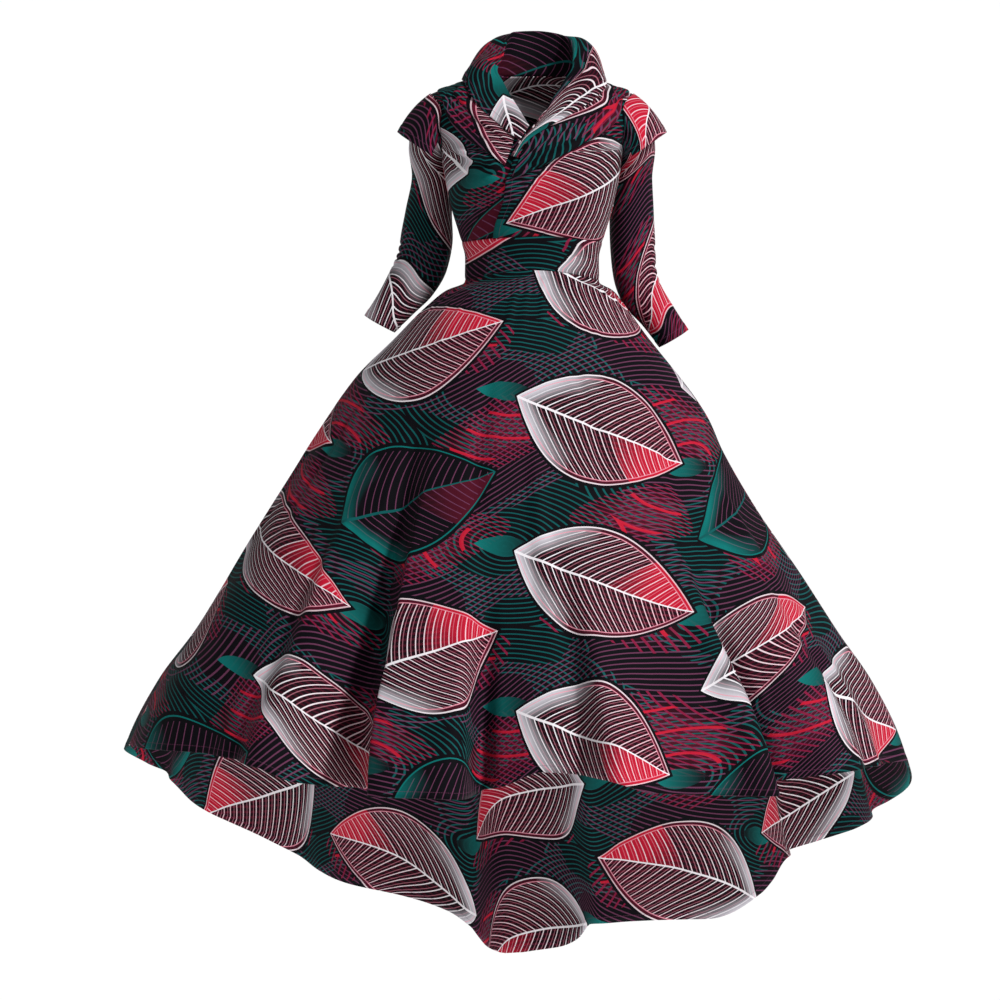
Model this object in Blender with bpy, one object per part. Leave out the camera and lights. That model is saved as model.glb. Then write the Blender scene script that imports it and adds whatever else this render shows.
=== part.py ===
"""A worn wrap-front dress with a rolled shawl collar, capped sleeves and a high-low circle skirt.

Lengths are in metres and angles in degrees. -Y is the front, +X is the wearer's left and +Z is up. The origin
lies on the centre plane at shoulder height, where the dress rests on whoever wears it. Every piece is a sheet
of points through sections of the worn form, which a Solidify modifier turns into a wall of cloth.
"""
import math
from collections import namedtuple

import bmesh
import bpy
import numpy as np
from mathutils import Vector

CLOTH = 0.002
SEAM_GAP = 0.0003

WAIST_SEAM = -0.267
WAIST_SEAM_ARCH = 0.015
BAND_HEM = -0.332
BAND_HEM_ARCH = 0.022
ARMHOLE_MIDDLE = -0.063
ARMHOLE_HALF_HEIGHT = 0.045
ARMHOLE_HALF_DEPTH = 0.046
ARMPIT = ARMHOLE_MIDDLE - ARMHOLE_HALF_HEIGHT
NECK_TOP = 0.012
BUST_HEIGHT = -0.150
BUST_APART = 0.070
BUST_DEPTH = 0.014
BUST_WIDE = 0.048
BUST_TALL = 0.050
WRAP_LIFT = 0.0016
WRAP_SPARE = 0.008
WRAP_FADE = 0.035
SIDE_HALF_WIDTH = 0.1

# Sections of the bodice and waistband, from the band's hem up to the neck
Body = namedtuple("Body", "height half_width front back")
BODY = [
    Body(-0.332, 0.1130, 0.094, 0.088),
    Body(-0.295, 0.1125, 0.092, 0.084),
    Body(-0.267, 0.1190, 0.098, 0.087),
    Body(-0.210, 0.1360, 0.113, 0.095),
    Body(-0.150, 0.1490, 0.127, 0.101),
    Body(-0.108, 0.1540, 0.125, 0.105),
    Body(-0.063, 0.1730, 0.108, 0.106),
    Body(-0.018, 0.1730, 0.066, 0.092),
    Body(-0.010, 0.1480, 0.058, 0.084),
    Body(0.000, 0.1180, 0.048, 0.072),
    Body(0.012, 0.0780, 0.035, 0.057),
]

# The inner edge of each front, as X at a height: over is the wearer's left front, under the right one
Edge = namedtuple("Edge", "height over under")
FRONT_EDGES = [
    Edge(-0.267, -0.064, -0.040),
    Edge(-0.248, -0.062, -0.036),
    Edge(-0.194, -0.048, -0.023),
    Edge(-0.148, -0.043, -0.014),
    Edge(-0.139, -0.037, -0.012),
    Edge(-0.120, -0.032, -0.006),
    Edge(-0.100, -0.014, -0.003),
    Edge(-0.083, 0.001, -0.007),
    Edge(-0.067, 0.017, -0.017),
    Edge(-0.053, 0.0265, -0.026),
    Edge(-0.032, 0.040, -0.040),
    Edge(-0.012, 0.055, -0.052),
    Edge(0.000, 0.063, -0.060),
    Edge(0.012, 0.070, -0.070),
]

# Soft pleats that fan out of the cross-over, by the angle above level at which they leave it
FAN_CENTRE = (-0.037, -0.139)
PLEAT_RISE_LENGTH = 0.020
UNDER_PLEAT_CLEAR = 0.012
UNDER_PLEAT_FADE = 0.020
Pleat = namedtuple("Pleat", "front angle reach height half_width")
FAN_PLEATS = [
    Pleat("under", 17, 0.100, 0.0040, 0.011),
    Pleat("under", -2, 0.080, 0.0045, 0.010),
    Pleat("under", -24, 0.060, 0.0030, 0.010),
    Pleat("over", 12, 0.115, 0.0035, 0.011),
    Pleat("over", -8, 0.085, 0.0030, 0.011),
]

# Sleeve sections: the middle, the axis's lean from straight down, and the half-widths across and front to back
Sleeve = namedtuple("Sleeve", "middle_x middle_y middle_z lean across deep")
SLEEVES = {
    "sleeve_right": [
        Sleeve(0.1808, 0.012, -0.0852, 52, 0.0390, 0.0455),
        Sleeve(0.1810, 0.036, -0.1180, 22, 0.0305, 0.0450),
        Sleeve(0.1705, 0.058, -0.1650, 6, 0.0335, 0.0430),
        Sleeve(0.1755, 0.062, -0.2200, 5, 0.0390, 0.0430),
        Sleeve(0.1795, 0.060, -0.2700, 8, 0.0440, 0.0430),
        Sleeve(0.1870, 0.055, -0.3050, 20, 0.0440, 0.0430),
        Sleeve(0.2040, 0.047, -0.3380, 33, 0.0415, 0.0380),
        Sleeve(0.2310, 0.034, -0.3740, 34, 0.0340, 0.0330),
        Sleeve(0.2590, 0.022, -0.4085, 29, 0.0285, 0.0285),
    ],
    "sleeve_left": [
        Sleeve(0.1808, 0.012, -0.0852, 52, 0.0390, 0.0455),
        Sleeve(0.1810, 0.036, -0.1180, 22, 0.0305, 0.0450),
        Sleeve(0.1705, 0.058, -0.1650, 3, 0.0335, 0.0430),
        Sleeve(0.1695, 0.062, -0.2200, 2, 0.0370, 0.0420),
        Sleeve(0.1710, 0.060, -0.2700, 3, 0.0380, 0.0410),
        Sleeve(0.1745, 0.056, -0.3200, 10, 0.0370, 0.0390),
        Sleeve(0.1850, 0.049, -0.3560, 26, 0.0360, 0.0360),
        Sleeve(0.2130, 0.032, -0.3940, 35, 0.0305, 0.0310),
        Sleeve(0.2410, 0.016, -0.4330, 31, 0.0280, 0.0280),
    ],
}
SLEEVE_SIDE = {"sleeve_right": -1, "sleeve_left": 1}

# The free edge of each shoulder cap, by the angle round the armhole from its top, with the front positive
Cap = namedtuple("Cap", "angle out front_back height")
CAP_EDGE = [
    Cap(-120, 0.1640, 0.088, -0.113),
    Cap(-85, 0.1930, 0.085, -0.104),
    Cap(-42, 0.2150, 0.052, -0.092),
    Cap(0, 0.2280, 0.002, -0.0815),
    Cap(42, 0.2130, -0.038, -0.090),
    Cap(85, 0.1900, -0.054, -0.104),
    Cap(120, 0.1690, -0.054, -0.118),
]
CAP_BOW = 0.006
CAP_BOW_LEAN = 53
CAP_STAND_OFF = 0.0032

# The collar, from its right end at the cross-over round the back of the neck to its left end: the roll, the free
# edge and the seam it is sewn on with. Where a Y is None, the point stands in front of the bodice by its lift.
Collar = namedtuple("Collar", "roll_x roll_y roll_z edge_x edge_y edge_z seam_x seam_z bow")
COLLAR = [
    Collar(-0.0055, None, -0.0630, -0.0215, None, -0.0870, -0.0125, -0.0700, 0.001),
    Collar(-0.0200, None, -0.0400, -0.044, None, -0.0700, -0.0290, -0.0470, 0.002),
    Collar(-0.0360, None, -0.0160, -0.082, None, -0.0390, -0.0450, -0.0230, 0.004),
    Collar(-0.0500, None, 0.0080, -0.103, -0.064, -0.0160, -0.0570, -0.0020, 0.008),
    Collar(-0.0600, -0.032, 0.0280, -0.115, -0.026, 0.0060, -0.0685, 0.0125, 0.011),
    Collar(-0.0500, -0.008, 0.0500, -0.118, 0.010, 0.0080, -0.0760, 0.0135, 0.015),
    Collar(-0.0430, 0.026, 0.0740, -0.110, 0.066, 0.0020, -0.0680, 0.0135, 0.018),
    Collar(-0.0300, 0.056, 0.0860, -0.075, 0.108, -0.0080, -0.0420, 0.0135, 0.026),
    Collar(0.0060, 0.068, 0.0870, 0.004, 0.126, -0.0130, 0.0040, 0.0135, 0.026),
    Collar(0.0420, 0.060, 0.0830, 0.080, 0.108, -0.0080, 0.0470, 0.0135, 0.024),
    Collar(0.0640, 0.036, 0.0740, 0.115, 0.066, 0.0010, 0.0690, 0.0135, 0.018),
    Collar(0.0710, 0.004, 0.0550, 0.124, 0.012, 0.0075, 0.0765, 0.0135, 0.013),
    Collar(0.0700, -0.030, 0.0350, 0.127, -0.031, 0.0020, 0.0685, 0.0125, 0.011),
    Collar(0.0530, None, 0.0060, 0.110, -0.064, -0.0170, 0.0595, -0.0030, 0.008),
    Collar(0.0300, None, -0.0270, 0.073, None, -0.0410, 0.0375, -0.0330, 0.005),
    Collar(0.0050, None, -0.0600, 0.029, None, -0.0640, 0.0115, -0.0690, 0.003),
    Collar(-0.0200, None, -0.0880, -0.008, None, -0.0880, -0.0130, -0.0940, 0.002),
    Collar(-0.0350, None, -0.1130, -0.024, None, -0.1150, -0.0275, -0.1150, 0.001),
]
ROLL_RADIUS = 0.0026
ROLL_LIFT = 0.0060
FALL_LIFT = 0.0095
FALL_CONTROL = 0.4
CROSSING_TOP = -0.020

# The two draped shawl layers, each from the shoulder seam to the cross-over, as X and Z of both long edges
Drape = namedtuple("Drape", "upper_x upper_z lower_x lower_z")
DRAPES = {
    "drape_right": [
        Drape(0.104, 0.0045, 0.150, -0.0107),
        Drape(0.103, -0.0040, 0.150, -0.0200),
        Drape(0.098, -0.0140, 0.144, -0.0430),
        Drape(0.083, -0.027, 0.130, -0.0660),
        Drape(0.063, -0.041, 0.102, -0.0900),
        Drape(0.043, -0.057, 0.074, -0.1080),
        Drape(0.026, -0.075, 0.046, -0.1300),
    ],
    "drape_left": [
        Drape(0.116, 0.0006, 0.152, -0.0113),
        Drape(0.113, -0.0070, 0.151, -0.0220),
        Drape(0.102, -0.0160, 0.145, -0.0500),
        Drape(0.079, -0.029, 0.118, -0.0760),
        Drape(0.050, -0.045, 0.078, -0.0980),
        Drape(0.022, -0.062, 0.038, -0.1200),
        Drape(0.002, -0.079, 0.000, -0.1380),
        Drape(-0.008, -0.091, -0.036, -0.1520),
    ],
}
DRAPE_SIDE = {"drape_right": -1, "drape_left": 1}
DRAPE_LIFT = 0.0036
DRAPE_RIDGE = 0.0045
DRAPE_END_RIDGE = 0.35

# The pleats across a draped layer: how far each place stands up, as a share of the ridge
Across = namedtuple("Across", "place rise")
DRAPE_PLEATS = [
    Across(0.00, 0.00),
    Across(0.16, 0.30),
    Across(0.38, 1.00),
    Across(0.47, 0.25),
    Across(0.62, 0.40),
    Across(0.86, 1.00),
    Across(1.00, 0.35),
]

# Level sections of the skirt
Skirt = namedtuple("Skirt", "height half_width shift front back")
SKIRT = [
    Skirt(-1.530, 0.765, -0.004, 0.540, 0.735),
    Skirt(-1.400, 0.725, -0.012, 0.520, 0.690),
    Skirt(-1.250, 0.690, -0.024, 0.490, 0.625),
    Skirt(-1.120, 0.655, -0.027, 0.460, 0.560),
    Skirt(-1.018, 0.605, -0.027, 0.425, 0.505),
    Skirt(-0.935, 0.547, -0.026, 0.395, 0.455),
    Skirt(-0.838, 0.487, -0.028, 0.360, 0.402),
    Skirt(-0.722, 0.411, -0.030, 0.315, 0.338),
    Skirt(-0.627, 0.354, -0.028, 0.277, 0.290),
    Skirt(-0.564, 0.321, -0.024, 0.250, 0.258),
    Skirt(-0.501, 0.277, -0.024, 0.220, 0.224),
    Skirt(-0.430, 0.213, -0.017, 0.180, 0.180),
    Skirt(-0.376, 0.165, -0.010, 0.140, 0.137),
    Skirt(-0.350, 0.137, -0.004, 0.115, 0.110),
    Skirt(-0.338, 0.1142, 0.000, 0.095, 0.089),
    Skirt(-0.332, 0.1130, 0.000, 0.094, 0.088),
]

# Height of the hem by the angle from the front, with the wearer's left positive
Hem = namedtuple("Hem", "angle height")
HEM = [
    Hem(-180.5, -1.543),
    Hem(-178.3, -1.544),
    Hem(-175.3, -1.530),
    Hem(-173.4, -1.509),
    Hem(-171.8, -1.488),
    Hem(-169.0, -1.462),
    Hem(-154.0, -1.406),
    Hem(-133.0, -1.279),
    Hem(-113.0, -1.184),
    Hem(-90.0, -1.125),
    Hem(-64.0, -1.119),
    Hem(-41.0, -1.134),
    Hem(-35.0, -1.161),
    Hem(-21.0, -1.176),
    Hem(-12.0, -1.177),
    Hem(-8.0, -1.181),
    Hem(-5.0, -1.171),
    Hem(-2.4, -1.165),
    Hem(4.0, -1.138),
    Hem(13.0, -1.149),
    Hem(20.0, -1.172),
    Hem(28.0, -1.178),
    Hem(39.0, -1.181),
    Hem(44.0, -1.165),
    Hem(60.0, -1.148),
    Hem(85.0, -1.149),
    Hem(104.0, -1.210),
    Hem(118.0, -1.266),
    Hem(127.0, -1.302),
    Hem(132.0, -1.325),
    Hem(137.0, -1.346),
    Hem(140.6, -1.360),
    Hem(144.7, -1.403),
    Hem(147.5, -1.428),
    Hem(156.0, -1.476),
    Hem(166.0, -1.479),
    Hem(169.5, -1.481),
    Hem(171.1, -1.484),
    Hem(173.4, -1.515),
    Hem(175.3, -1.530),
    Hem(179.5, -1.543),
]

# Skirt folds: the angle at the top and at the hem, the depth there (outward positive), the half widths towards
# the wearer's right and left in degrees, and the share of the way down at which the fold starts
Fold = namedtuple("Fold", "top hem depth right_half left_half start")
SKIRT_FOLDS = [
    Fold(-70, -72, 0.010, 11, 11, 0.30),
    Fold(-52, -55, -0.026, 11, 9, 0.25),
    Fold(-38, -41, 0.022, 8, 9, 0.35),
    Fold(-31, -26, -0.062, 12, 6, 0.18),
    Fold(-21, -15, 0.034, 8, 9, 0.22),
    Fold(-3, -2, -0.058, 5, 13, 0.42),
    Fold(13, 14, 0.034, 10, 8, 0.40),
    Fold(24, 25, -0.014, 8, 8, 0.45),
    Fold(34, 34, 0.020, 7, 6, 0.40),
    Fold(40, 40, -0.040, 6, 10, 0.38),
    Fold(55, 57, 0.018, 11, 11, 0.30),
    Fold(74, 76, -0.026, 10, 13, 0.35),
    Fold(99, 101, 0.006, 10, 10, 0.30),
    Fold(116, 118, -0.040, 9, 11, 0.28),
    Fold(128, 128, 0.018, 9, 9, 0.30),
    Fold(139, 138, -0.062, 10, 8, 0.26),
    Fold(150, 151, 0.026, 11, 11, 0.28),
    Fold(168, 169, -0.066, 11, 8, 0.30),
    Fold(180, 180, 0.048, 9, 9, 0.30),
    Fold(-173, -172, -0.056, 7, 9, 0.35),
    Fold(-160, -161, 0.042, 11, 11, 0.25),
    Fold(-146, -145, -0.052, 8, 11, 0.30),
    Fold(-130, -131, 0.036, 11, 11, 0.28),
    Fold(-115, -114, -0.034, 9, 9, 0.35),
    Fold(-101, -100, 0.018, 9, 9, 0.40),
]
FOLD_FULL_SHARE = 1.15
WAIST_EASE_FOLDS = 18
WAIST_EASE_DEPTH = 0.0030
WAIST_EASE_SHARE = 0.09
SKIRT_LEVELS = (0.0, 0.005, 0.016, 0.035, 0.07, 0.13, 0.20, 0.30, 0.41, 0.52, 0.64, 0.76, 0.88, 1.0)


def smooth(table, column, at):
    """One column of a table at a value of its first column, on a curve through the rows that never overshoots."""
    keys = [row[0] for row in table]
    values = [getattr(row, column) for row in table]
    return through(keys, values, at)


def through(keys, values, at):
    """A monotone cubic curve through the values at rising keys."""
    last = len(keys) - 1
    steps = [keys[i + 1] - keys[i] for i in range(last)]
    slopes = [(values[i + 1] - values[i]) / steps[i] for i in range(last)]
    tangents = [slopes[0]] + [0.0] * (last - 1) + [slopes[-1]]
    for i in range(1, last):
        if slopes[i - 1] * slopes[i] > 0:
            before = 2 * steps[i] + steps[i - 1]
            after = steps[i] + 2 * steps[i - 1]
            tangents[i] = (before + after) / (before / slopes[i - 1] + after / slopes[i])
    at = min(max(at, keys[0]), keys[-1])
    i = min(max(int(np.searchsorted(keys, at)) - 1, 0), last - 1)
    t = (at - keys[i]) / steps[i]
    rise = 3 * t * t - 2 * t**3
    return (
        values[i] * (1 - rise)
        + values[i + 1] * rise
        + steps[i] * (tangents[i] * (t**3 - 2 * t * t + t) + tangents[i + 1] * (t**3 - t * t))
    )


def along(rows, share):
    """All columns of a table of stations, at a share of the way from its first row to its last."""
    keys = list(range(len(rows)))
    at = share * keys[-1]
    return [through(keys, [row[c] for row in rows], at) for c in range(len(rows[0]))]


def ease(value):
    """Rises smoothly from 0 to 1 as the value does."""
    value = min(max(value, 0.0), 1.0)
    return value * value * (3 - 2 * value)


def bump(offset, half_width):
    """1 at no offset, falling smoothly to 0 at the half-width."""
    share = abs(offset) / half_width
    return 0.5 + 0.5 * math.cos(math.pi * share) if share < 1 else 0.0


def turned(angle):
    """The same angle between -180 and 180."""
    return (angle + 180) % 360 - 180


def bust(x, height):
    return BUST_DEPTH * math.exp(
        -(((abs(x) - BUST_APART) / BUST_WIDE) ** 2) - ((height - BUST_HEIGHT) / BUST_TALL) ** 2
    )


def on_body(angle, height):
    """A point of the worn form: the angle runs from the front towards the wearer's left."""
    sine, cosine = math.sin(math.radians(angle)), math.cos(math.radians(angle))
    x = smooth(BODY, "half_width", height) * sine
    if cosine < 0:
        return Vector((x, -smooth(BODY, "back", height) * cosine, height))
    y = -smooth(BODY, "front", height) * cosine - bust(x, height) * ease(4 * cosine)
    return Vector((x, y, height))


def off_body(angle, height, lift):
    """The point of the form at an angle and a height, moved outward by the lift."""
    step = 0.001
    top = min(height + step, NECK_TOP)
    across = on_body(angle + 0.5, height) - on_body(angle - 0.5, height)
    up = on_body(angle, top) - on_body(angle, top - 2 * step)
    return on_body(angle, height) + across.cross(up).normalized() * lift


def angle_at(x, height):
    """The angle from the front at which the form reaches X at a height."""
    share = x / smooth(BODY, "half_width", height)
    return math.degrees(math.asin(min(max(share, -1.0), 1.0)))


def armhole_angle(height, depth_column):
    """The angle at which a panel ends: at the armhole between armpit and shoulder tip, else at the side."""
    share = (height - ARMHOLE_MIDDLE) / ARMHOLE_HALF_HEIGHT
    if abs(share) >= 1:
        return 90.0
    deep = ARMHOLE_HALF_DEPTH * math.sqrt(1 - share * share)
    return math.degrees(math.acos(deep / smooth(BODY, depth_column, height)))


def armhole(angle, side):
    """A point of the armhole's seam, by the angle round it from the top with the front positive."""
    height = ARMHOLE_MIDDLE + ARMHOLE_HALF_HEIGHT * math.cos(math.radians(angle))
    front = math.sin(math.radians(angle)) >= 0
    around = armhole_angle(height, "front" if front else "back")
    return on_body(side * (around if front else 180 - around), height)


def panel_heights():
    """Row heights of the bodice: even up to the armpit, then those of the sleeve's points, then the shoulder."""
    below = np.linspace(WAIST_SEAM, ARMPIT, 9)[:-1]
    beside = [ARMHOLE_MIDDLE - ARMHOLE_HALF_HEIGHT * math.cos(math.pi * i / 8) for i in range(9)]
    above = (-0.010, 0.001, 0.011)
    return [*below, *beside, *above]


def waist_height(angle):
    """The seam between bodice and band, which arches up in front."""
    cosine = math.cos(math.radians(angle))
    return WAIST_SEAM + WAIST_SEAM_ARCH * max(cosine, 0.0) ** 2


def with_arch(height, angle):
    """A bodice row's height, raised by what is left there of the waist seam's arch."""
    left = (BUST_HEIGHT - height) / (BUST_HEIGHT - WAIST_SEAM)
    return height + (waist_height(angle) - WAIST_SEAM) * max(left, 0.0)


def fan_lift(front, x, height):
    """How far the pleats that fan out of the cross-over raise a front."""
    side = 1 if front == "over" else -1
    away = (x - FAN_CENTRE[0]) * side
    total = 0.0
    for pleat in FAN_PLEATS:
        if pleat.front != front:
            continue
        sine, cosine = math.sin(math.radians(pleat.angle)), math.cos(math.radians(pleat.angle))
        rise = height - FAN_CENTRE[1]
        run = away * cosine + rise * sine
        aside = rise * cosine - away * sine
        if 0 < run < pleat.reach:
            length = ease(run / PLEAT_RISE_LENGTH) * ease(2 * (1 - run / pleat.reach))
            total += pleat.height * length * bump(aside, pleat.half_width)
    return total


def wrap_lift(front, x, height):
    """The over front stands off and the under front in, where they overlap."""
    reach = WRAP_FADE + WRAP_SPARE
    if front == "over":
        return WRAP_LIFT * ease((smooth(FRONT_EDGES, "under", height) + reach - x) / WRAP_FADE)
    return -WRAP_LIFT * ease((x - smooth(FRONT_EDGES, "over", height) + reach) / WRAP_FADE)


def front_lift(front, x, height):
    """How far a front stands off the form. The under front's pleats show only outside the over front's edge."""
    pleats = fan_lift(front, x, height)
    if front == "under":
        clear = smooth(FRONT_EDGES, "over", height) - UNDER_PLEAT_CLEAR
        pleats *= ease((clear - x) / UNDER_PLEAT_FADE)
    return wrap_lift(front, x, height) + pleats


def new_material(name, colour, roughness=0.6):
    material = bpy.data.materials.new(name)
    material.use_nodes = True
    shader = material.node_tree.nodes["Principled BSDF"]
    shader.inputs["Base Color"].default_value = (*colour, 1.0)
    shader.inputs["Roughness"].default_value = roughness
    shader.inputs["Metallic"].default_value = 0.0
    return material


def sheet(name, rows, material, around=False):
    """A named object: a sheet through rows of points, thickened to a wall of cloth."""
    mesh = bpy.data.meshes.new(name)
    form = bmesh.new()
    grid = [[form.verts.new(point) for point in row] for row in rows]
    for low, high in zip(grid, grid[1:]):
        count = len(low)
        for i in range(count if around else count - 1):
            j = (i + 1) % count
            form.faces.new((low[i], low[j], high[j], high[i]))
    form.to_mesh(mesh)
    form.free()
    mesh.shade_smooth()
    mesh.materials.append(material)
    piece = bpy.data.objects.new(name, mesh)
    bpy.context.scene.collection.objects.link(piece)
    wall = piece.modifiers.new("wall", "SOLIDIFY")
    wall.thickness = CLOTH
    wall.offset = 0.0
    return piece


def gap_angle(half_width):
    """Half a seam's gap as an angle on a section."""
    return math.degrees(0.5 * SEAM_GAP / half_width)


def bodice_front(name, front, material, columns=15):
    """One front, from its inner edge to the side seam, the armhole and the shoulder seam."""
    side = 1 if front == "over" else -1
    rows = []
    for row_height in panel_heights():
        inner = angle_at(smooth(FRONT_EDGES, front, row_height), row_height)
        outer = side * (armhole_angle(row_height, "front") - gap_angle(SIDE_HALF_WIDTH))
        row = []
        for share in np.linspace(0, 1, columns):
            angle = inner + (outer - inner) * share
            height = with_arch(row_height, angle)
            if row_height == WAIST_SEAM:
                height += 0.5 * SEAM_GAP
            x = on_body(angle, height).x
            away_from_edge = ease(4 * (1 - share))
            row.append(off_body(angle, height, front_lift(front, x, height) * away_from_edge))
        rows.append(row)
    return sheet(name, rows, material)


def bodice_back(material, columns=19):
    rows = []
    for row_height in panel_heights():
        reach = armhole_angle(row_height, "back") - gap_angle(SIDE_HALF_WIDTH)
        height = row_height + (0.5 * SEAM_GAP if row_height == WAIST_SEAM else 0.0)
        rows.append([on_body(180 - reach * share, height) for share in np.linspace(-1, 1, columns)])
    return sheet("bodice_back", rows, material)


def waistband(material, columns=40, levels=3):
    rows = []
    for level in np.linspace(0, 1, levels):
        row = []
        for step in range(columns):
            angle = 360 * step / columns
            arch = max(math.cos(math.radians(angle)), 0.0) ** 2
            low = BAND_HEM + BAND_HEM_ARCH * arch + 0.5 * SEAM_GAP
            high = waist_height(angle) - 0.5 * SEAM_GAP
            row.append(on_body(angle, low + (high - low) * level))
        rows.append(row)
    return sheet("waistband", rows, material, around=True)


def sleeve(name, material, rings=14, columns=16):
    """A tube from the armhole's seam, through the sleeve's sections, to the cuff."""
    side = SLEEVE_SIDE[name]
    start = Vector((side * (CLOTH + 2 * SEAM_GAP), 0, 0))
    rows = [[armhole(360 * i / columns, side) + start for i in range(columns)]]
    for ring in range(rings):
        x, y, z, lean, across, deep = along(SLEEVES[name], ring / (rings - 1))
        out = Vector((math.cos(math.radians(lean)), 0, math.sin(math.radians(lean))))
        row = []
        for i in range(columns):
            turn = 2 * math.pi * i / columns
            point = Vector((x, y - deep * math.sin(turn), z)) + out * across * math.cos(turn)
            row.append(Vector((side * point.x, point.y, point.z)))
        rows.append(row)
    return sheet(name, rows, material, around=True)


def cap(name, side, material, columns=17, levels=5):
    """A pointed flange that stands over the sleeve's head, from the armhole's seam to its free edge."""
    rows = []
    first, last = CAP_EDGE[0].angle, CAP_EDGE[-1].angle
    middle = Vector((0, 0, ARMHOLE_MIDDLE))
    lean = math.radians(CAP_BOW_LEAN)
    for level in np.linspace(0, 1, levels):
        row = []
        for angle in np.linspace(first, last, columns):
            seam = armhole(angle, 1)
            away = Vector((0, seam.y, seam.z)) - middle
            seam += away.normalized() * CAP_STAND_OFF
            seam.x += CLOTH + 2 * SEAM_GAP
            edge = Vector([smooth(CAP_EDGE, column, angle) for column in ("out", "front_back", "height")])
            bow = 4 * level * (1 - level) * CAP_BOW
            outward = Vector((math.cos(lean), 0, 0)) + away.normalized() * math.sin(lean)
            point = seam.lerp(edge, level) + outward * bow
            row.append(Vector((side * point.x, point.y, point.z)))
        rows.append(row)
    return sheet(name, rows, material)


def before_body(x, height, lift):
    """The point at X and a height that stands in front of the bodice by a lift."""
    level = min(height, NECK_TOP)
    point = on_body(angle_at(x, level), level)
    return Vector((x, point.y - lift, height))


def collar_station(station):
    """A station's roll, free edge and seam as points, and its bow."""
    crossing = WRAP_LIFT if station.seam_z < CROSSING_TOP else 0.0
    roll = Vector((station.roll_x, station.roll_y or 0.0, station.roll_z))
    if station.roll_y is None:
        roll = before_body(station.roll_x, station.roll_z, ROLL_LIFT + crossing)
    edge = Vector((station.edge_x, station.edge_y or 0.0, station.edge_z))
    if station.edge_y is None:
        edge = before_body(station.edge_x, station.edge_z, FALL_LIFT + crossing)
    level = min(station.seam_z, NECK_TOP)
    angle = angle_at(station.seam_x, level)
    if (station.roll_y or 0.0) > 0.0:
        angle = 180 - angle
    seam = off_body(angle, level, crossing)
    return [*roll, *edge, station.seam_x, seam.y, station.seam_z, station.bow]


def collar(material, columns=39, bends=4):
    """One sheet: up the stand from the neckline seam, over the roll and down the fall to the free edge."""
    stations = [collar_station(station) for station in COLLAR]
    rows = []
    for share in np.linspace(0, 1, columns):
        values = along(stations, share)
        roll, edge, seam, bow = Vector(values[:3]), Vector(values[3:6]), Vector(values[6:9]), values[9]
        inward = ((edge - roll).normalized() + (seam - roll).normalized()).normalized()
        across = (edge - roll) - inward * (edge - roll).dot(inward)
        across.normalize()
        turn = [
            roll + inward * ROLL_RADIUS * (1 - math.cos(bend)) + across * ROLL_RADIUS * math.sin(bend)
            for bend in np.linspace(-math.pi / 2, math.pi / 2, 5)
        ]
        stand = [seam, seam.lerp(turn[0], 0.5)]
        control = turn[-1].lerp(edge, FALL_CONTROL) + across * 2 * bow
        fall = []
        for t in np.linspace(0, 1, bends + 1)[1:]:
            fall.append(turn[-1] * (1 - t) ** 2 + control * 2 * t * (1 - t) + edge * t * t)
        rows.append(stand + turn + fall)
    return sheet("collar", rows, material)


def drape(name, material, columns=18):
    """A draped layer that lies on a front, pleated lengthwise, from the shoulder seam to the cross-over."""
    side, front = DRAPE_SIDE[name], "over" if name == "drape_left" else "under"
    stations = [
        (angle_at(row.upper_x, row.upper_z), row.upper_z, angle_at(row.lower_x, row.lower_z), row.lower_z)
        for row in DRAPES[name]
    ]
    stations[0] = (90, stations[0][1], 90, stations[0][3])
    rows = []
    for share in np.linspace(0, 1, columns):
        upper, upper_z, lower, lower_z = along(stations, share)
        row = []
        for place in DRAPE_PLEATS:
            angle = side * (upper + (lower - upper) * place.place)
            height = upper_z + (lower_z - upper_z) * place.place
            x = on_body(angle, height).x
            ridge = DRAPE_RIDGE * place.rise * ease(DRAPE_END_RIDGE + 3 * min(share, 1 - share))
            row.append(off_body(angle, height, DRAPE_LIFT + ridge + front_lift(front, x, height)))
        rows.append(row)
    return sheet(name, rows, material)


def hem_height(angle):
    angle = turned(angle)
    return smooth(HEM, "height", angle - 360 if angle > HEM[-1].angle else angle)


def fold_depth(angle, share):
    """How far the skirt stands out of its section, by the angle and the share of the way down."""
    depth = 0.0
    for fold in SKIRT_FOLDS:
        aside = turned(angle - fold.top - (fold.hem - fold.top) * share)
        growth = ease((share - fold.start) / (FOLD_FULL_SHARE - fold.start))
        depth += fold.depth * growth * bump(aside, fold.left_half if aside > 0 else fold.right_half)
    eased = bump(share - WAIST_EASE_SHARE, WAIST_EASE_SHARE) * WAIST_EASE_DEPTH
    return depth + eased * math.cos(math.radians(WAIST_EASE_FOLDS * angle))


def on_skirt(angle, share):
    """A point of the skirt, by the angle from the front and the share of the way from waist seam to hem."""
    sine, cosine = math.sin(math.radians(angle)), math.cos(math.radians(angle))
    arch = BAND_HEM_ARCH * max(cosine, 0.0) ** 2
    top = BAND_HEM + arch - 0.5 * SEAM_GAP
    height = top + (hem_height(angle) - top) * share
    level = height - arch * (1 - ease(3 * share))
    half_width = smooth(SKIRT, "half_width", level)
    depth = smooth(SKIRT, "back" if cosine < 0 else "front", level)
    outward = Vector((sine / half_width, -cosine / depth, 0)).normalized()
    point = Vector((smooth(SKIRT, "shift", level) + half_width * sine, -depth * cosine, height))
    return point + outward * fold_depth(angle, share)


def skirt_panel(name, middle, material, columns):
    """Half the skirt, from side seam to side seam."""
    rows = []
    for share in SKIRT_LEVELS:
        reach = 90 - gap_angle(SKIRT[-1].half_width * (1 - share) + SKIRT[3].half_width * share)
        rows.append([on_skirt(middle + reach * place, share) for place in np.linspace(-1, 1, columns)])
    return sheet(name, rows, material)


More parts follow.
